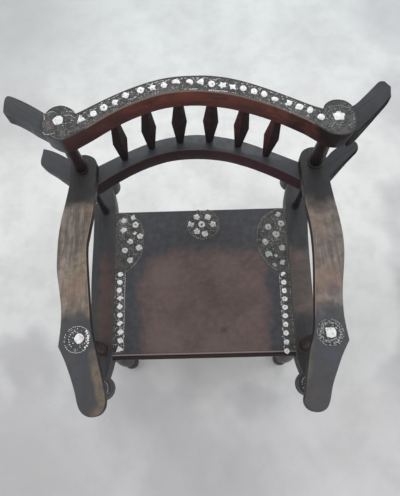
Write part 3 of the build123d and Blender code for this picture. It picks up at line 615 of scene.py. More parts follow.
def chip(shape, x, y, top, size, kind="round", angle=0.0, stretch=1.0, hole=0.28):
    """Adds a pearl chip, cut to one of the shapes, with its rim rounded by wear."""
    larger, radii = chip_shapes[kind]
    size *= larger
    piece = bmesh.new()
    bmesh.ops.create_circle(piece, cap_ends=True, segments=len(radii), radius=size / 2000)
    for vert, radius in zip(piece.verts, radii):
        vert.co *= radius * chance_of.uniform(0.87, 1.06)
    thickness = 0.9
    pushed(piece, piece.faces[:][0], 0, 0, thickness)
    cap = max(piece.faces, key=lambda f: f.calc_center_median().z)
    softened(piece, cap.edges[:], 0.4, 2)
    if kind == "ring":
        cap = max(piece.faces, key=lambda f: f.calc_center_median().z * 1000 + f.calc_area())
        bmesh.ops.inset_region(piece, faces=[cap], thickness=size / 2000 * (1 - hole), depth=-0.0002)
        drift = Vector((chance_of.uniform(-0.1, 0.1), chance_of.uniform(-0.1, 0.1), 0)) * size / 2000
        bmesh.ops.translate(piece, verts=cap.verts[:], vec=drift)
        cap.material_index = 1
    turn = Matrix.Rotation(math.radians(angle), 4, "Z") @ Matrix.Diagonal((stretch, 1, 1, 1))
    bmesh.ops.transform(piece, matrix=Matrix.Translation(metres(x, y, top - thickness)) @ turn, verts=piece.verts)
    holder = bpy.data.meshes.new("chip")
    piece.to_mesh(holder)
    piece.free()
    shape.from_mesh(holder)
    bpy.data.meshes.remove(holder)


def strewn(shape, spots, chips, top, near, count, length, width):
    """Scatters short slips over places where no chip lies."""
    laid_down = 0
    while laid_down < count:
        x, y, angle = spots()
        if all(math.dist((x, y), (c[0], c[1])) > near for c in chips):
            slip(shape, x, y, top, length * chance_of.uniform(0.5, 1.3), width * chance_of.uniform(0.6, 1.2), angle)
            laid_down += 1


def thrown(x, y, reach, start, end):
    """A place and a turn, anywhere within part of a circle."""
    angle, out = math.radians(chance_of.uniform(start, end)), reach * math.sqrt(chance_of.uniform(0.02, 1))
    return x + out * math.cos(angle), y + out * math.sin(angle), chance_of.uniform(0, 180)


centre_chips = [(-11, 179, "rosette"), (20, 178, "square"), (-27, 158, "bitten"), (3, 157, "ring"),
                (34, 156, "rosette"), (-11, 136, "rosette"), (11, 128, "round")]
middle_inlay = bmesh.new()
for x, y, kind in centre_chips:
    chip(middle_inlay, x, y, seat_top + 0.4, 19.5, kind, chance_of.uniform(0, 360), 1.0, 0.4)
finished(middle_inlay, "seat_round_chips", [grey_pearl, hollow], "pearl", "seat_pearl_centre")
middle_slips = bmesh.new()
slips_along(middle_slips, arc(round_centre, 44, 40, -200, 40), 3.6, seat_top + 0.15, 1.0, 0.8, 0.75, 0.6)
slips_along(middle_slips, arc(round_centre, 41, 40, -200, 40), 4.6, seat_top + 0.15, 0.8, 0.6, 0.5, 0.8)
slips_along(middle_slips, [(-14, 196.5), (28, 196.5)], 3.8, seat_top + 0.15, 1.6, 0.6, 0.8)
strewn(middle_slips, lambda: thrown(6, 154, 42, 0, 360), centre_chips, seat_top + 0.1, 10, 60, 3.0, 1.0)
finished(middle_slips, "seat_round_slips", [dull_pearl], "pearl")

lobe_chips = {
    "left": [(-189, 183, 16, "bitten"), (-183, 161, 18, "ring"), (-184, 136, 12, "bitten"), (-169, 126, 18, "rosette"),
             (-196, 111, 17, "rosette"), (-172, 93, 19, "square"), (-210, 86, 16, "ring"), (-195, 57, 18, "rosette")],
    "right": [(216, 180, 17, "bitten"), (223, 152, 18, "ring"), (187, 143, 18, "ring"), (207, 121, 19, "ring"),
              (176, 100, 19, "round"), (220, 81, 18, "round"), (183, 63, 20, "bitten"), (219, 39, 17, "bitten"),
              (195, 32, 13, "comma"), (202, 59, 10, "round")],
}
for side, sign in sides.items():
    lobe = bmesh.new()
    for x, y, size, kind in lobe_chips[side]:
        chip(lobe, x, y, seat_top + 0.4, size, kind, chance_of.uniform(0, 360), 1.05, 0.34)
    flowers = [(-216, 174), (-215, 146)] if side == "left" else []
    for x, y in flowers:
        chip(lobe, x, y, seat_top + 0.3, 17, "rosette", 20, 1.15)
    finished(lobe, f"seat_lobe_chips_{side}", [grey_pearl if side == "left" else smoked_pearl, hollow], "pearl",
             f"seat_pearl_lobe_{side}")
    scattered = bmesh.new()
    for x, y in flowers:
        slips_along(scattered, arc((x, y), 11, 0, 360, 16), 4.6, seat_top + 0.2, 2.0, 0.7, 0.9, 0.5)
        slips_along(scattered, arc((x, y), 7.5, 0, 360, 10), 4.6, seat_top + 0.2, 1.2, 0.6, 0.8, 0.5)
    curved_rim = lobe_outlines[side][1:36]
    slips_along(scattered, [(x + sign * 2.6, y) for x, y in curved_rim], 3.4, seat_top + 0.15, 0.9, 0.85, 0.85, 0.5)
    slips_along(scattered, [(x + sign * 6.5, y) for x, y in curved_rim], 5.2, seat_top + 0.15, 0.9, 0.5, 0.5, 1.0)
    strewn(scattered, lambda: thrown(sign * 232, 108, 68, 90, 90 + sign * 150),
           lobe_chips[side] + flowers, seat_top + 0.1, 11, 110, 3.2, 1.1)
    finished(scattered, f"seat_lobe_slips_{side}", [dull_pearl], "pearl")

strip_ends = {"left": ((-221, 18), (-214, -180)), "right": ((218, 6), (210, -194))}
strip_kinds = {
    "left": ["round", "round", "dome", "bitten", "square", "round", "bitten", "round", "round", "triangle"],
    "right": ["crescent"] + ["ring"] * 9,
}
last_chip = 9
for side, sign in sides.items():
    (x0, y0), (x1, y1) = strip_ends[side]
    strip = bmesh.new()
    for number, kind in enumerate(strip_kinds[side]):
        share = number / last_chip
        x, y = x0 + (x1 - x0) * share, y0 + (y1 - y0) * share
        if side == "left":
            chip(strip, x + chance_of.uniform(-1.5, 1.5), y, seat_top + 0.5, 14.5, kind,
                 chance_of.uniform(-25, 25), 1.2)
        else:
            chip(strip, x, y, seat_top + 0.5, 14.2, kind, chance_of.uniform(0, 360))
        for speck in range({"left": 9, "right": 4}[side] if number < last_chip else 0):
            offset = chance_of.uniform(-12, 12) if side == "left" else chance_of.uniform(-11, -4)
            slip(strip, x + offset, y - 11 + chance_of.uniform(-3.5, 3.5), seat_top + 0.2,
                 chance_of.uniform(1.4, 3.2), 1.2, chance_of.uniform(0, 180))
    inner = [(sign * 206.6, y0 + 2), (sign * 204.6, y1 + 3)]
    outer = [(sign * 233.4, y0 + 30), (sign * 230.4, y1 + 4)]
    slips_along(strip, inner, 3.9, seat_top + 0.2, 1.5, 0.5, 0.9, 0.6)
    slips_along(strip, outer, 3.4, seat_top + 0.2, 0.8, 0.6, 0.35, 0.4)
    finished(strip, f"seat_strip_chips_{side}", [pearl, hollow], "pearl", f"seat_pearl_strip_{side}")


# Arm posts: straight dark posts at the back and stout brown ones in front. Each stands in
# the side rail on a turned collar and is tenoned into the back rail or the arm above.
def post_profile(low, high, radius, collar, shares):
    """The (height, radius) points of a post: collar, body and a bead under its head. The body is
    given as shares of the whole height and of the radius."""
    height, collar_height = high - low, 6.0
    foot = flowing([(low, collar - 1.2), (low + 1.2, collar), (low + collar_height - 1.6, collar),
                    (low + collar_height, radius * 0.86)], 3)
    body = flowing([(low + height * at, radius * wide) for at, wide in shares], 5)
    ring_low = high - height * 0.035
    return foot + [spot for spot in body if spot[0] > low + collar_height + 1] + bead(
        ring_low - 5, ring_low, body[-1][1], body[-1][1] + 1.6) + [(high, body[-1][1] * 0.98)]


rear_post_shares = [(0.04, 0.95), (0.22, 1.0), (0.55, 0.97), (0.80, 0.94), (0.94, 0.94)]
front_post_shares = [(0.04, 0.86), (0.22, 1.0), (0.55, 0.86), (0.80, 0.78), (0.94, 0.86)]
rear_post_wood = Finish("nearly black turned wood", deep=(32, 29, 32), warm=(44, 40, 43), worn=(64, 58, 60),
                        along="Z", rubbed=0.2).done()
wood = Finish("brown turned wood", deep=(44, 34, 31), warm=(68, 53, 46), worn=(96, 84, 74), along="Z", rubbed=0.35,
              shine=0.44)
# Painted shade: the upper part of each front post, under the arm, is painted nearly black.
wood.lay(wood.along((0, 0, 1), 480, 590), (28, 23, 25), 0.9)
wood.lay(wood.along((0, 0, -1), -459, -455), (46, 40, 41), 0.85)
front_post_wood = wood.done()
back_rail_base, back_rail_top, arm_base = 625, 669.7, 670


def stand_post(name, place, low, high, radius, collar, shares, finish):
    """Turns a post, stands it in the plan and makes it a piece."""
    post = moved(turned(post_profile(low, high, radius, collar, shares)), *place)
    finished(post, f"{name}_turned_{side}", [finish], "turned_wood", f"{name}_{side}")


for side, sign in sides.items():
    stand_post("rear_arm_post", (sign * rear_post[0], rear_post[1]), seat_top, back_rail_base, 10.6, 11.2,
               rear_post_shares, rear_post_wood)
    stout, collar = (15.5, 18.5) if side == "left" else (17, 20.5)
    stand_post("front_arm_post", (sign * front_post[0], front_post[1]), seat_top, arm_base, stout, collar,
               front_post_shares, front_post_wood)


# Back rail: a bowed board at arm level, red-brown on its faces and blue-black on its top.
# Its round ends sit on the rear posts and carry the arms; the horns are let into them.
wood = Finish("red-brown back rail", deep=(50, 35, 37), warm=(66, 45, 45), worn=(104, 88, 82), along="X",
              rubbed=0.3, shine=0.46)
wood.lay(wood.along((1, 0, 0), -20, 90), (78, 46, 54), 0.5)
wood.lay(wood.along((1, 0, 0), 180, 258), (36, 30, 32), 0.85)
wood.lay(wood.along((-1, 0, 0), 90, 220), (44, 36, 37), 0.8)
wood.lay(wood.facing("Z", 0.55, 0.85), (73, 75, 79), 0.95)
bow_front = [(-249, 165.2), (-204.9, 195.5), (-158.6, 222.9), (-111, 243.9), (-60.9, 257.1), (0, 259.9), (60.9, 252.1),
             (111, 236.5), (158.6, 215.5), (204.9, 190.7), (249, 163.2)]
bow_back = [(246, 214.3), (221, 226.4), (172.7, 249.9), (124.5, 272.4), (75, 289.2), (0, 301.8), (-75, 294.5),
            (-124.5, 279.3), (-172.7, 257.5), (-221, 232.2), (-246, 218.8)]
back_outline = joined(
    flowing(bow_front), arc((262, 184.5), 25, -122, -17, 6), arc(rear_post, 33, -17, 128, 10), flowing(bow_back),
    arc((-rear_post[0], rear_post[1]), 33, 52, 197, 10), arc((-262, 184.5), 25, 197, 302, 6),
)
finished(board(back_outline, back_rail_base, back_rail_top, 2.0), "back_rail_bow", [wood.done()],
         "red_brown_wood", "back_rail")


# Horns: wings at both levels that thin towards their tips, running out and back from the
# bosses. Sawn from a thick board, hollowed on the underside and cut straight at the tip.
horn_wood = {}
for side, turn in {"left": -35, "right": 36}.items():
    wood = Finish(f"blue-black horn {side}", deep=(64, 65, 68), warm=(73, 74, 77), worn=(100, 95, 92), along="X",
                  rubbed=0.3, shine=0.52, turn=turn, gloss=0.3 if side == "left" else 0.08, fine=0.1)
    # Painted shade: the right horns' front faces are painted nearly black, and this copy of the finish has little
    # gloss so that they stay dark; the left horns' front faces, on the lit side, get a plain tone close to the top's.
    if side == "right":
        wood.lay(wood.facing("Y", -0.25, -0.6), (20, 18, 19), 0.97)
    else:
        wood.lay(wood.facing("Y", -0.3, -0.7), (64, 62, 66), 0.8)
    horn_wood[side] = wood.done()


def height_at(line, share):
    """The height of a line of (share, height) points at one share."""
    for (low, first), (high, second) in zip(line, line[1:]):
        if share <= high:
            return first + (second - first) * max(share - low, 0) / (high - low)
    return line[-1][1]


def horn(outline, low, high, root, tip, rises, lean):
    """Builds a wing on its outline, cut across into stations whose underside is then raised, and
    draws its top in along the front so that the front face leans."""
    shape = slab(outline, low, high)
    run, start = metres(tip[0] - root[0], tip[1] - root[1], 0), metres(*root, 0)
    forward = Vector((abs(run.y) * math.copysign(1, run.x), -abs(run.x), 0)).normalized()
    # How many cuts, how far the wing's underside keeps clear of the line, and where its front starts
    stations, clear, front_from = 10, 0.5, 0.012
    for station in range(stations):
        bmesh.ops.bisect_plane(shape, geom=shape.verts[:] + shape.edges[:] + shape.faces[:], dist=1e-6,
                               plane_co=start + run * (station / stations), plane_no=run.normalized())
    for vert in shape.verts:
        reach = Vector((vert.co.x, vert.co.y, 0)) - start
        if vert.co.z < low / 1000 + 1e-5:
            share = reach.dot(run) / run.length_squared
            vert.co.z += (height_at(rises, min(max(share, 0), 1)) + clear) / 1000
        elif reach.dot(forward) > front_from:
            vert.co -= forward * lean / 1000

    def behind(vert, wear):
        """Only the back edge of a leaning wing is rubbed."""
        return wear * 0.1 if lean > 1 and (Vector((vert.co.x, vert.co.y, 0)) - start).dot(forward) > 0 else wear

    shape.normal_update()
    sharp = [edge for edge in shape.edges if edge.calc_face_angle(0) > math.radians(50)]
    return softened(shape, sharp, 1.6), behind


thin_rise = flowing([(0, 0), (0.25, 9.0), (0.5, 21.2), (0.75, 29.7), (1, 34.2)], 6)
steep_rise = flowing([(0, 0), (0.25, 14.0), (0.5, 27.0), (0.75, 32.5), (1, 34.2)], 6)
thick_rise = flowing([(0, 0), (0.25, 2.0), (0.5, 5.5), (0.75, 10.5), (1, 17.0)], 6)
horns = {
    ("back", "left"): (thin_rise, joined(
        [(-285, 208)], flowing([(-298, 181), (-336, 206), (-360, 220), (-375, 234)]),
        flowing([(-375, 234), (-377, 244), (-375, 261), (-373, 278)]),
        flowing([(-373, 278), (-351, 271), (-326, 258), (-294, 238)]))),
    ("back", "right"): (thin_rise, joined(
        [(285, 208)], flowing([(288, 225), (304, 232), (319, 247), (349, 268), (372, 275)]),
        flowing([(372, 275), (380, 267), (381.4, 254), (378, 244)]),
        flowing([(378, 244), (351, 219), (308, 177), (292, 165)]))),
    ("crest", "left"): (thick_rise, joined(
        [(-280, 205)], flowing([(-290, 187), (-303, 195), (-316, 202), (-334, 214), (-355, 225), (-371, 230.5)]),
        flowing([(-371, 230.5), (-375.5, 237), (-376.5, 253), (-376.0, 268), (-372, 275)]),
        flowing([(-372, 275), (-363, 273), (-339, 261), (-313, 245), (-290, 229)]))),
    ("crest", "right"): (steep_rise, joined(
        [(280, 200)], flowing([(290, 221), (306, 227), (325, 244), (343, 262), (358, 277)]),
        flowing([(358, 277), (364, 280), (371, 279.5)]), [(381.4, 266), (381.6, 247.5)],
        flowing([(381.6, 247.5), (371, 231), (349, 207.5), (328, 187), (307, 168), (293, 160)]))),
}
crest_base, horn_thickness = 825, 41
for (level, side), (rises, outline) in horns.items():
    low = back_rail_base if level == "back" else crest_base
    wing, behind = horn(outline, low, low + horn_thickness, (sides[side] * 284, 195), (sides[side] * 377, 260), rises,
                        {"left": 0.5, "right": 4.5}[side])
    finished(wing, f"{level}_horn_wing_{side}", [horn_wood[side]], "dark_stained_wood", f"{level}_horn_{side}",
             rubbed=behind)


# Arms: flat bowed boards, worn to bare brown along the middle and blue-black at both ends.
# Each swells to a point over the front post and ends in a small round.
arm_outlines = {
    "left": flowing([
        (290.2, -196), (288.5, -155), (290.6, -117.8), (297.5, -80), (305.6, -40), (308.5, -5), (309.3, 36),
        (306.3, 79), (300.2, 120), (294.5, 168), (294.5, 218), (283, 237), (265, 243), (247, 237.5), (236.5, 225),
        (234, 200), (236.3, 106.6), (243, 50), (246, 7.6), (236, -86), (226.2, -158), (213.3, -207.9),
        (193.3, -280.4), (190.6, -310), (200, -325.3), (215.6, -329.8), (231.8, -324), (242.5, -310), (252, -280),
        (263.5, -250), (276, -222), (290.2, -196)], 5),
    "right": flowing([
        (293.2, -197), (289.5, -155), (290.5, -117.8), (295.5, -80), (302.2, -44), (307.8, -5), (308.9, 36),
        (305.3, 79), (300.2, 120), (296, 168), (294.5, 218), (283, 239), (265, 244.8), (247, 239), (236.5, 225.5),
        (234, 200), (237, 106.6), (243, 49.5), (243, -9), (236.5, -86), (227.1, -170.6), (212, -219.3),
        (197.5, -289.2), (193.5, -312), (202, -325.5), (217, -329.8), (232.5, -324.5), (241.5, -311), (250, -283),
        (263, -253), (277, -224), (293.2, -197)], 5),
}


def arm_wear(vert, wear):
    """The edges are rubbed bare only where a hand or a sleeve slides."""
    return wear if -0.14 < vert.co.y < 0.11 and abs(vert.co.x) < 0.27 else wear * 0.35


# The board's top, and the level of the disc that is let into it
arm_top, arm_level = 691.8, 692
arm_tones = {"left": ((104, 94, 88), (158, 146, 134), (158, 138, 110), (64, 66, 71)),
             "right": ((111, 101, 96), (151, 140, 132), (150, 131, 118), (70, 72, 76))}
for side, sign in sides.items():
    deep, warm, gold, blue_black = arm_tones[side]
    wood = Finish(f"worn arm board {side}", deep=deep, warm=warm, worn=(150, 134, 114), along="Y", rubbed=0.45,
                  shine=0.52, cloudy=0.25)
    wood.lay(wood.all_of(wood.along((-sign, 0, 0), -290, -252), wood.clouds), gold, 0.6)
    wood.lay(wood.smudges, (86, 80, 75), 0.6)
    wood.lay(wood.streaks, (118, 108, 105), 0.12)
    wood.lay(wood.spots(arm_level, (sign * 266, -70, 42)), (138, 112, 98), 0.5)
    front = wood.along((0, -1, 0), 112, 152)
    wood.lay(front, blue_black, 0.94)
    if side == "left":
        bare = wood.any_of(
            wood.all_of(wood.along((0.973, 0.23, 0), -274, -262), wood.along((0, -1, 0), 196, 222)),
            wood.all_of(wood.along((1, 0, 0), -228, -208), wood.along((0, -1, 0), 298, 324)))
        wood.lay(bare, (124, 109, 90), 0.8)
        wood.lay(wood.all_of(bare, wood.smudges), (88, 84, 86), 0.6)
        wood.lay(wood.spots(arm_level, (-236, -236, 34)), (64, 72, 86), 0.6)
    else:
        bare = wood.all_of(wood.along((-0.971, 0.238, 0), -268, -254), wood.along((0, -1, 0), 190, 230))
        wood.lay(bare, (106, 100, 84), 0.75)
        wood.lay(wood.all_of(wood.along((0, -1, 0), 262, 300), wood.edges), (126, 120, 100), 0.8)
        wood.lay(wood.spots(arm_level, (250, -142, 26), (252, -226, 28)), (76, 78, 94), 0.45)
        wood.lay(wood.spots(arm_level, (276, -98, 22), (268, 84, 24)), (88, 80, 86), 0.6)
        wood.lay(wood.spots(arm_level, (222, -304, 24)), (88, 78, 80), 0.5)
    wood.lay(wood.all_of(front, wood.smudges), (74, 70, 70), 0.4)
    wood.lay(wood.along((0, 1, 0), 92 - 8 * sign, 132 - 8 * sign), (41, 43, 46), 0.95)
    # Painted shade: the sides and the underside of the arm are painted nearly black.
    wood.lay(wood.facing("Z", 0.6, 0.3), (34, 27, 26), 0.92)
    finished(board(joined(arm_outlines[side]), arm_base, arm_top, 1.8, sign), f"arm_board_{side}", [wood.done()],
             "worn_arm_wood", f"arm_{side}", rubbed=arm_wear)


# Arm inlay: over each front post a dark mastic disc with worn rings of pearl round one big chip.
# The disc lies flush in the arm, and the slips and the chip stand a little proud of it.
arm_mastic = ground_finish("arm mastic", (50, 52, 56), (70, 70, 72), (150, 148, 146), 0.45, 360.0)
for side, sign in sides.items():
    centre = (257.0, -181.0) if side == "right" else (-252.0, -182.5)
    disc = turned([(arm_level - 1.5, 28.2), (arm_level - 0.1, 28.2), (arm_level, 27.8)], 40)
    finished(moved(disc, *centre), f"arm_disc_{side}", [arm_mastic], "inlay_ground", f"arm_inlay_ground_{side}")
    mark = bmesh.new()
    if side == "left":
        chip(mark, -248.5, -181, arm_level + 0.7, 22.5, "round", 20)
        slips_along(mark, arc(centre, 26.4, 10, 320, 40), 4.4, arm_level + 0.3, 1.1, 0.8, 0.95)
        slips_along(mark, arc(centre, 17, 100, 250, 16), 5.2, arm_level + 0.3, 1.6, 0.45, 0.8, 0.8)
        slips_along(mark, arc(centre, 23, -50, 48, 14), 5.0, arm_level + 0.35, 4.2, 0.8, 0.9, 1.0)
        slips_along(mark, arc(centre, 18, -40, 40, 10), 6.4, arm_level + 0.35, 3.0, 0.5, 0.8, 1.0)
        strewn(mark, lambda: thrown(*centre, 24, 0, 360), [(-248.5, -181)], arm_level + 0.2, 13, 24, 2.6, 1.2)
    else:
        chip(mark, 257.5, -180.5, arm_level + 0.7, 24, "square", -42)
        ring = bmesh.new()
        slips_along(ring, arc(centre, 26.4, 0, 360, 44), 4.2, arm_level + 0.3, 1.4, 0.75, 0.85, 0.5)
        slips_along(ring, arc(centre, 21, -70, 70, 20), 4.8, arm_level + 0.3, 2.6, 0.65, 0.85, 0.9)
        slips_along(ring, arc(centre, 20, 70, 290, 26), 4.4, arm_level + 0.25, 1.8, 0.6, 0.75, 1.0)
        strewn(ring, lambda: thrown(*centre, 25, 0, 360), [(257.5, -180.5)], arm_level + 0.2, 14, 70, 3.8, 2.3)
        finished(ring, "arm_slips_right", [dull_pearl], "pearl")
    finished(mark, f"arm_chip_{side}", [pearl, hollow], "pearl", f"arm_pearl_{side}")


# Crest posts: short thick balusters of dark red-brown wood, turned with a collar and a bead.
# They stand on the arms' back ends and are tenoned up into the crest's bosses.
crest_post_shares = {"left": [(0.04, 0.97), (0.22, 1.0), (0.45, 0.94), (0.75, 0.84), (0.94, 0.80)],
                     "right": [(0.04, 0.90), (0.22, 1.0), (0.45, 0.95), (0.75, 0.86), (0.94, 0.84)]}
wood = Finish("dark red-brown turned wood", deep=(36, 25, 27), warm=(50, 34, 36), worn=(78, 60, 56), along="Z",
              rubbed=0.26, shine=0.46)
# Painted shade: the lower part of each crest post, just above the arm, is painted nearly black.
wood.lay(wood.along((0, 0, -1), -752, -708), (26, 22, 25), 0.9)
crest_post_wood = wood.done()
for side, sign in sides.items():
    radius, collar = (15.3, 15.4) if side == "left" else (16.0, 18.2)
    stand_post("crest_post", (sign * rear_post[0], rear_post[1]), arm_top, crest_base, radius, collar,
               crest_post_shares[side], crest_post_wood)


# Spindles: six lozenges with four planed faces, let into the two bowed rails by round tenons.
# They lean a little, because their feet stand nearer the left and the back than their heads.
wood = Finish("dark red-brown planed wood", deep=(34, 22, 24), warm=(48, 29, 31), worn=(70, 50, 47), along="Z",
              rubbed=0.22, cloudy=0.4)
# Painted light: on the right-hand spindles, the faces that look to the left are painted a brighter red, as if lit from
# the left.
wood.lay(wood.all_of(wood.along((1, 0, 0), 0, 90), wood.facing("X", -0.1, -0.6)), (82, 32, 36), 0.55)
wood.lay(wood.along((0, 0, -1), -722, -684), (28, 26, 27), 0.85)
spindle_wood = wood.done()
# Where each one stands, how far it is turned, and how far its foot stands back
spindle_places = [(-167.0, 238.0, 27.5, 3.2), (-103.9, 267.2, 19.2, 2.2), (-36.0, 283.7, 6.9, 0),
                  (34.2, 283.7, -6.9, 0), (101.7, 266.0, -19.2, 1.2), (166.0, 237.0, -27.5, 3.2)]
# The height of each corner ring of the lozenge, and half its width and depth there
spindle_rings = ((672, 8.8, 7.0), (747.5, 18, 11), (822, 9.6, 7.2), (825.2, 9.6, 7.2))
spindle_foot, spindle_height, foot_left = (669.8, 9, 7), 155, 6
for number, (x, y, angle, back) in enumerate(spindle_places, start=1):
    spindle = bmesh.new()
    bmesh.ops.create_circle(spindle, segments=4, radius=1)
    for vert in spindle.verts:
        vert.co = metres(vert.co.x * spindle_foot[1], vert.co.y * spindle_foot[2], spindle_foot[0])
    rim = spindle.edges[:]
    for height, wide, deep in spindle_rings:
        grown = bmesh.ops.extrude_edge_only(spindle, edges=rim)["geom"]
        tops = [v for v in grown if isinstance(v, bmesh.types.BMVert)]
        rim = [edge for edge in spindle.edges if all(vert in tops for vert in edge.verts)]
        for vert in tops:
            corner = round(math.atan2(vert.co.y, vert.co.x) / (math.pi / 2)) * math.pi / 2
            vert.co = metres(math.cos(corner) * wide, math.sin(corner) * deep, height)
    bmesh.ops.holes_fill(spindle, edges=[edge for edge in spindle.edges if edge.is_boundary])
    bmesh.ops.recalc_face_normals(spindle, faces=spindle.faces)
    spindle.normal_update()
    softened(spindle, [edge for edge in spindle.edges if edge.calc_face_angle(0) > math.radians(45)], 0.9)
    bmesh.ops.rotate(spindle, verts=spindle.verts, cent=(0, 0, 0), matrix=Matrix.Rotation(math.radians(angle), 3, "Z"))
    for vert in spindle.verts:
        vert.co += Vector((-foot_left, back, 0)) * (crest_base / 1000 - vert.co.z) / spindle_height
    finished(moved(spindle, x, y), f"back_spindle_lozenge_{number}", [spindle_wood], "turned_wood",
             f"back_spindle_{number}")


# Crest rail: the bowed top board. Its faces are red-brown, its top is sunk for the inlay
# inside a narrow bare strip, and a thick round boss at each end sits on the crest post.
wood = Finish("red-brown crest rail", deep=(85, 53, 50), warm=(115, 70, 60), worn=(112, 99, 88), along="X",
              rubbed=0.5, shine=0.48, gloss=0.25)
# Painted light and shade: the middle of the crest is painted brighter and warmer, and the lower half of its faces
# darker.
wood.lay(wood.all_of(wood.spots(850, (-10, 262, 150)), wood.clouds), (142, 78, 58), 0.65)
wood.lay(wood.along((0, 0, -1), -858, -826), (58, 37, 43), 0.5)
wood.lay(wood.along((1, 0, 0), 140, 258), (27, 22, 23), 0.95)
# Painted shade: the left part of the crest, facing away from the light, is painted darker.
wood.lay(wood.along((-1, 0, 0), 110, 230), (58, 42, 43), 0.7)
wood.lay(wood.along((-1, 0, 0), 252, 262), (84, 84, 92), 0.8)
wood.lay(wood.facing("Z", 0.55, 0.85), (62, 62, 64), 0.95)
crest_ground = ground_finish("crest mastic", (50, 50, 51), (78, 77, 77), (150, 151, 151), 0.5, 360.0,
                             brown=((-279, 199, 869.5, 12), (-205, 205, 869.5, 7)))
crest_front = flowing([(-204.9, 193.2), (-158.6, 223.8), (-111, 247.3), (-60.9, 263.2), (0, 267.3), (60.9, 258.7),
                       (111, 242.9), (158.6, 222.6), (204.9, 197), (220, 187)], 6)
crest_outline = joined(
    crest_front,
    flowing([(220, 187), (233, 177), (252, 163), (266, 159), (275, 158.5), (287, 160.5), (298, 168), (304, 180),
             (306.5, 194), (306, 207), (302, 218), (297, 227), (287, 235.5), (273, 238.6), (260, 236.5), (249, 229),
             (244, 219)]),
    flowing([(244, 219), (221, 228.4), (172.7, 253.4), (124.5, 276.5), (75, 295.2), (30, 304.4), (0, 305.8),
             (-35, 305), (-75, 298.6), (-124.5, 281.5), (-172.7, 258.4), (-221, 231), (-231, 226)]),
    flowing([(-231, 226), (-238, 234.5), (-248, 241.3), (-260, 245.4), (-272, 243.8), (-282, 238.6), (-289, 230.5),
             (-296, 217), (-297.5, 208), (-297, 199), (-290, 183), (-277, 173.6), (-266.5, 168), (-257, 165.4),
             (-248, 167.4), (-237.5, 172.8), (-224, 181), (-204.9, 193.2)]),
)
crest_top, sunk = 869.7, 0.3
crest = board(crest_outline, crest_base, crest_top, 1.4)
crest_band = max(crest.faces, key=lambda f: f.calc_center_median().z * 10 + f.calc_area())
bmesh.ops.inset_region(crest, faces=[crest_band], thickness=0.0024, depth=-sunk / 1000, use_even_offset=True)
crest_band.material_index = 1
crest_edge = [(x / 1000, y / 1000) for x, y in crest_front]


def front_strip(vert, wear):
    """Only the strip along the front of the top is rubbed bare."""
    near = vert.co.z > 0.8688 and min(math.dist(vert.co.xy, spot) for spot in crest_edge) < 0.006
    return 1.0 if near else 0.0


finished(crest, "crest_rail_bow", [wood.done(), crest_ground], "red_brown_wood", "crest_rail", rubbed=front_strip)


# Crest inlay: a row of pearl chips, each cut to its own shape, from boss to boss, with slips
# and specks between them, and a larger chip in a ring of slips in each boss.
crest_chips = [
    (-220, 212, "triangle", 20, 1.0), (-197, 224, "round", 0, 1.0), (-177, 237, "ring", 0, 1.05),
    (-155, 248, "bitten", 40, 1.0), (-136, 264, "square", 25, 1.0), (-107, 275, "ring", 10, 1.1),
    (-84, 280, "star", 90, 1.0), (-61, 285, "round", 30, 1.0), (-37, 290, "crescent", -36, 1.2),
    (-11, 289, "crescent", -66, 1.05), (12, 290, "triangle", 90, 1.0), (33, 284, "ring", 0, 1.0),
    (54, 280, "star", 20, 1.05), (74, 275, "cross", 45, 1.0), (94, 271, "round", 0, 1.0),
    (115, 263, "round", 50, 1.0), (134, 256, "round", 18, 1.0), (155, 245, "comma", 120, 1.0),
    (179, 234, "bitten", 200, 1.0), (199, 224, "square", 20, 1.2), (217, 216, "dome", 160, 1.0),
    (238, 200, "square", 10, 1.0),
]
chips = bmesh.new()
for x, y, kind, angle, stretch in crest_chips:
    chip(chips, x, y, crest_top + 0.3, 15, kind, angle, stretch, 0.34)
chip(chips, -264.6, 211, crest_top + 0.3, 21, "ring", 15, 1.0, 0.2)
chip(chips, 272, 201, crest_top + 0.3, 21, "rosette", 0, 1.15)
finished(chips, "crest_chips", [pearl, hollow], "pearl", "crest_pearl")
scribed = pearl_finish("thin dusty slips", (124, 124, 123), (82, 82, 82))
rings, band = bmesh.new(), bmesh.new()
left_boss_slips = (
    [(-292.7, 225.6), (-291.5, 220), (-291, 212.8)], [(-290.6, 186.3), (-283.6, 179.7), (-267.2, 183.5)],
    [(-287.9, 226.2), (-281, 230.8), (-272.6, 231.4)], [(-249.5, 230.5), (-242.2, 231.3), (-232.2, 226.9)],
    [(-252.4, 221.2), (-241.6, 222.2), (-233.9, 216.8)])
right_boss_slips = (
    [(245.6, 216.1), (255.4, 219.4), (262.9, 222.5), (271.5, 224.1), (280.8, 222.9), (288.6, 219.2), (297.1, 220.6)],
    [(296, 211), (300, 206), (299, 198), (299.5, 189)], [(248.4, 179.8), (254, 177.7), (261.1, 187.6), (267.4, 191.5)],
    [(284.6, 179.8), (301.8, 186)], [(250, 205), (254, 213), (262, 217)])
front_slips = ([(-167, 237), (-147, 245.5)], [(-127, 254), (-110, 261)], [(22, 270.5), (63, 264)],
               [(-20, 273.5), (4, 273)])
for line in left_boss_slips:
    slips_along(band, flowing(line), 2.6, crest_top + 0.15, 1.3, 1.1, 0.95)
for radius in (17, 21, 25, 28.5):
    slips_along(rings, arc((-264, 206), radius, 165, 300, 24), 3.4, crest_top - 0.1, 0.6, 1.05, 0.85, 0.2)
for line in right_boss_slips:
    slips_along(rings, flowing(line), 4.6, crest_top + 0.1, 1.7, 0.9, 0.95, 0.5)
for radius in (20, 26):
    slips_along(rings, arc((272, 199), radius, 190, 350, 24), 3.4, crest_top - 0.1, 0.6, 1.05, 0.8, 0.3)
strewn(rings, lambda: thrown(270, 196, 29, 0, 360), [(272, 201)], crest_top - 0.05, 14, 16, 5.4, 1.4)
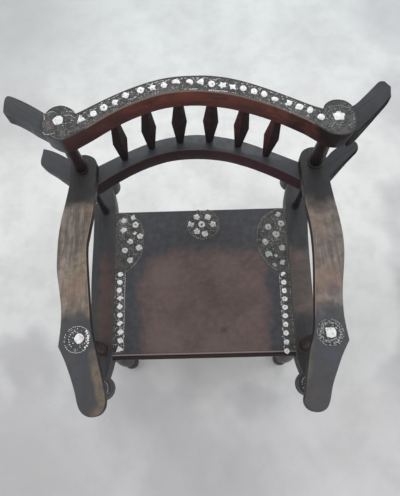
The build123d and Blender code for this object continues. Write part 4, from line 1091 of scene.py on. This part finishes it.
strewn(rings, lambda: thrown(-262, 203, 30, 180, 360), [(-264, 207)], crest_top - 0.05, 14, 12, 3.4, 0.9)
for line in front_slips:
    slips_along(band, line, 4.2, crest_top + 0.15, 1.9, 0.95, 0.95, 0.5)
crest_middle = flowing([(257.8, 183.9), (212.9, 211.5), (165.6, 237.8), (117.7, 260.2), (68, 277.5), (0, 286.8),
                        (-68, 281.5), (-117.7, 264.2), (-165.6, 241.2), (-212.9, 212), (-257.8, 184.9)], 12)


def beside(line, offset):
    """The same line, moved sideways."""
    runs = [(Vector(after) - Vector(before)).normalized() for before, after in zip(line, line[2:])]
    return [(x + run.y * offset, y - run.x * offset) for (x, y), run in zip(line[1:-1], runs)]


def over_crest():
    """A place on the band, lying much as the band does."""
    number = chance_of.randrange(8, len(crest_middle) - 9)
    (x0, y0), (x1, y1) = crest_middle[number - 1], crest_middle[number + 1]
    run = Vector((x1 - x0, y1 - y0)).normalized()
    offset = chance_of.uniform(-15, 14.5)
    x, y = crest_middle[number]
    lie = math.degrees(math.atan2(run.y, run.x)) + chance_of.gauss(0, 22)
    return x - run.y * offset + run.x * chance_of.uniform(-3, 3), y + run.x * offset, lie


slips_along(band, beside(crest_middle, 13), 5.4, crest_top + 0.05, 1.5, 0.75, 0.35, 0.8)
slips_along(band, beside(crest_middle, 10), 6.4, crest_top + 0.05, 1.7, 0.6, 0.35, 1.6)
strewn(band, over_crest, crest_chips, crest_top + 0.05, 8.8, 60, 3.4, 1.4)
strewn(rings, over_crest, crest_chips, crest_top, 8.4, 130, 3.8, 1.6)
slips_along(rings, beside(crest_middle, -13.5), 5.6, crest_top, 1.2, 0.7, 0.5, 0.8)
finished(band, "crest_slips", [pearl_finish("rubbed pearl slips", (212, 212, 209), (128, 128, 127))], "pearl")
finished(rings, "crest_scribed_rings", [scribed], "pearl")


# The floor: pale, cloudy concrete with a few pale specks, painted darker under the chair and
# towards the front and the far edge as painted shade, with broad patches of painted shade and light whose edges
# wander.
floor_finish, tree, shader, place = new_material("pale concrete")
mottle = effect_of(tree, patina, Vector=place, Scale=2.6)
northward = add_node(tree, "ShaderNodeSeparateXYZ", {0: place}).outputs["Y"]
# Painted shade: the floor's tone is darker towards the front, where the chair's broad shadow falls, and towards the
# far edge.
tone = shade_over(tree, between(tree, northward, -0.6, 0.15), paint(218, 217, 218), paint(239, 240, 239))
tone = shade_over(tree, between(tree, northward, 0.7, 1.4), tone, paint(223, 227, 227))
# Each painted patch, most of them shade and two of them light: its place and reach in metres, and its tone
painted_floor_shading = [
    (-0.98, 1.45, 0.7, (190, 192, 192)), (0.98, 1.42, 0.36, (196, 198, 200)), (0.92, 0.85, 0.3, (200, 201, 203)),
    (0.85, 0.42, 0.2, (196, 196, 198)), (0.8, 0.0, 0.24, (184, 184, 186)), (0.74, -0.3, 0.22, (184, 184, 186)),
    (-0.84, 0.86, 0.36, (204, 205, 205)), (-0.75, -0.6, 0.5, (192, 191, 192)), (0, 0.45, 0.3, (246, 247, 246)),
    (0, -0.1, 0.34, (170, 168, 170)), (0.56, -0.45, 0.3, (222, 221, 222)), (0, -0.58, 0.26, (202, 201, 203)),
    (-0.24, -0.32, 0.2, (197, 196, 198)), (0.13, -0.28, 0.14, (198, 197, 200)), (-0.66, -0.2, 0.12, (200, 199, 201)),
]
wander = times(tree, math_of(tree, "SUBTRACT", mottle["Clouds"], 0.5), 0.16)
for x, y, reach, shade in painted_floor_shading:
    painted_patch = math_of(tree, "ADD", how_far(tree, place, (x, y, 0)), wander)
    tone = shade_over(tree, between(tree, painted_patch, reach, reach * 0.15, 0.0, 0.85), tone, paint(*shade))
shaded = add_node(tree, "ShaderNodeVectorMath", {0: tone, 1: (0.76, 0.75, 0.75)}, operation="MULTIPLY").outputs[0]
tone = shade_over(tree, times(tree, mottle["Clouds"], 0.42), tone, shaded)
tone = shade_over(tree, times(tree, mottle["Smudges"], 0.2), tone, paint(180, 181, 182))
specks = effect_of(tree, flecks, Vector=place, Scale=110.0, Amount=0.0012)["Flecks"]
tone = shade_over(tree, times(tree, specks, 0.5), tone, paint(240, 240, 239))
surface(tree, shader, tone, 0.85)
ground = bmesh.new()
bmesh.ops.create_grid(ground, x_segments=8, y_segments=8, size=12.0)
floor_mesh = bpy.data.meshes.new("floor")
ground.to_mesh(floor_mesh)
ground.free()
floor_mesh.materials.append(floor_finish)
floor = bpy.data.objects.new("floor", floor_mesh)
bpy.context.collection.objects.link(floor)


# Light and camera: soft, even light from both sides and from behind, and the camera above
# the chair's front edge, looking down, as the photograph was taken.
def soft_lamp(name, place, size, watts):
    light = bpy.data.lights.new(name, "AREA")
    light.size = size
    light.energy = watts
    lamp = bpy.data.objects.new(name, light)
    lamp.location = place
    lamp.rotation_euler = (Vector((0, 0, 0.4)) - Vector(place)).to_track_quat("-Z", "Y").to_euler()
    bpy.context.collection.objects.link(lamp)


soft_lamp("light from the left", (-4.2, -0.1, 3.2), 2.6, 59)
soft_lamp("light from the right", (4.2, 0.3, 3.2), 2.6, 59)
soft_lamp("light from behind", (0.3, 3.6, 3.2), 2.6, 60)
sky = bpy.data.worlds.new("pale room")
bpy.context.scene.world = sky
sky.use_nodes = True
glow = sky.node_tree.nodes["Background"].inputs
glow["Color"].default_value = (0.925, 0.94, 0.955, 1)
glow["Strength"].default_value = 0.6

lens = bpy.data.cameras.new("camera")
lens.sensor_width = 36.0
lens.sensor_fit = "AUTO"
# Both in the picture's own points
focal_length, picture_height = 430, 496
lens.lens = focal_length / picture_height * lens.sensor_width
lens.clip_start = 0.05
lens.clip_end = 30
camera = bpy.data.objects.new("camera", lens)
camera.location = (0.0127, -0.2910, 1.5664)
camera.rotation_euler = [math.radians(turn) for turn in (18.666, 1.272, -1.285)]
bpy.context.collection.objects.link(camera)
bpy.context.scene.camera = camera
bpy.context.scene.view_settings.view_transform = "Standard"
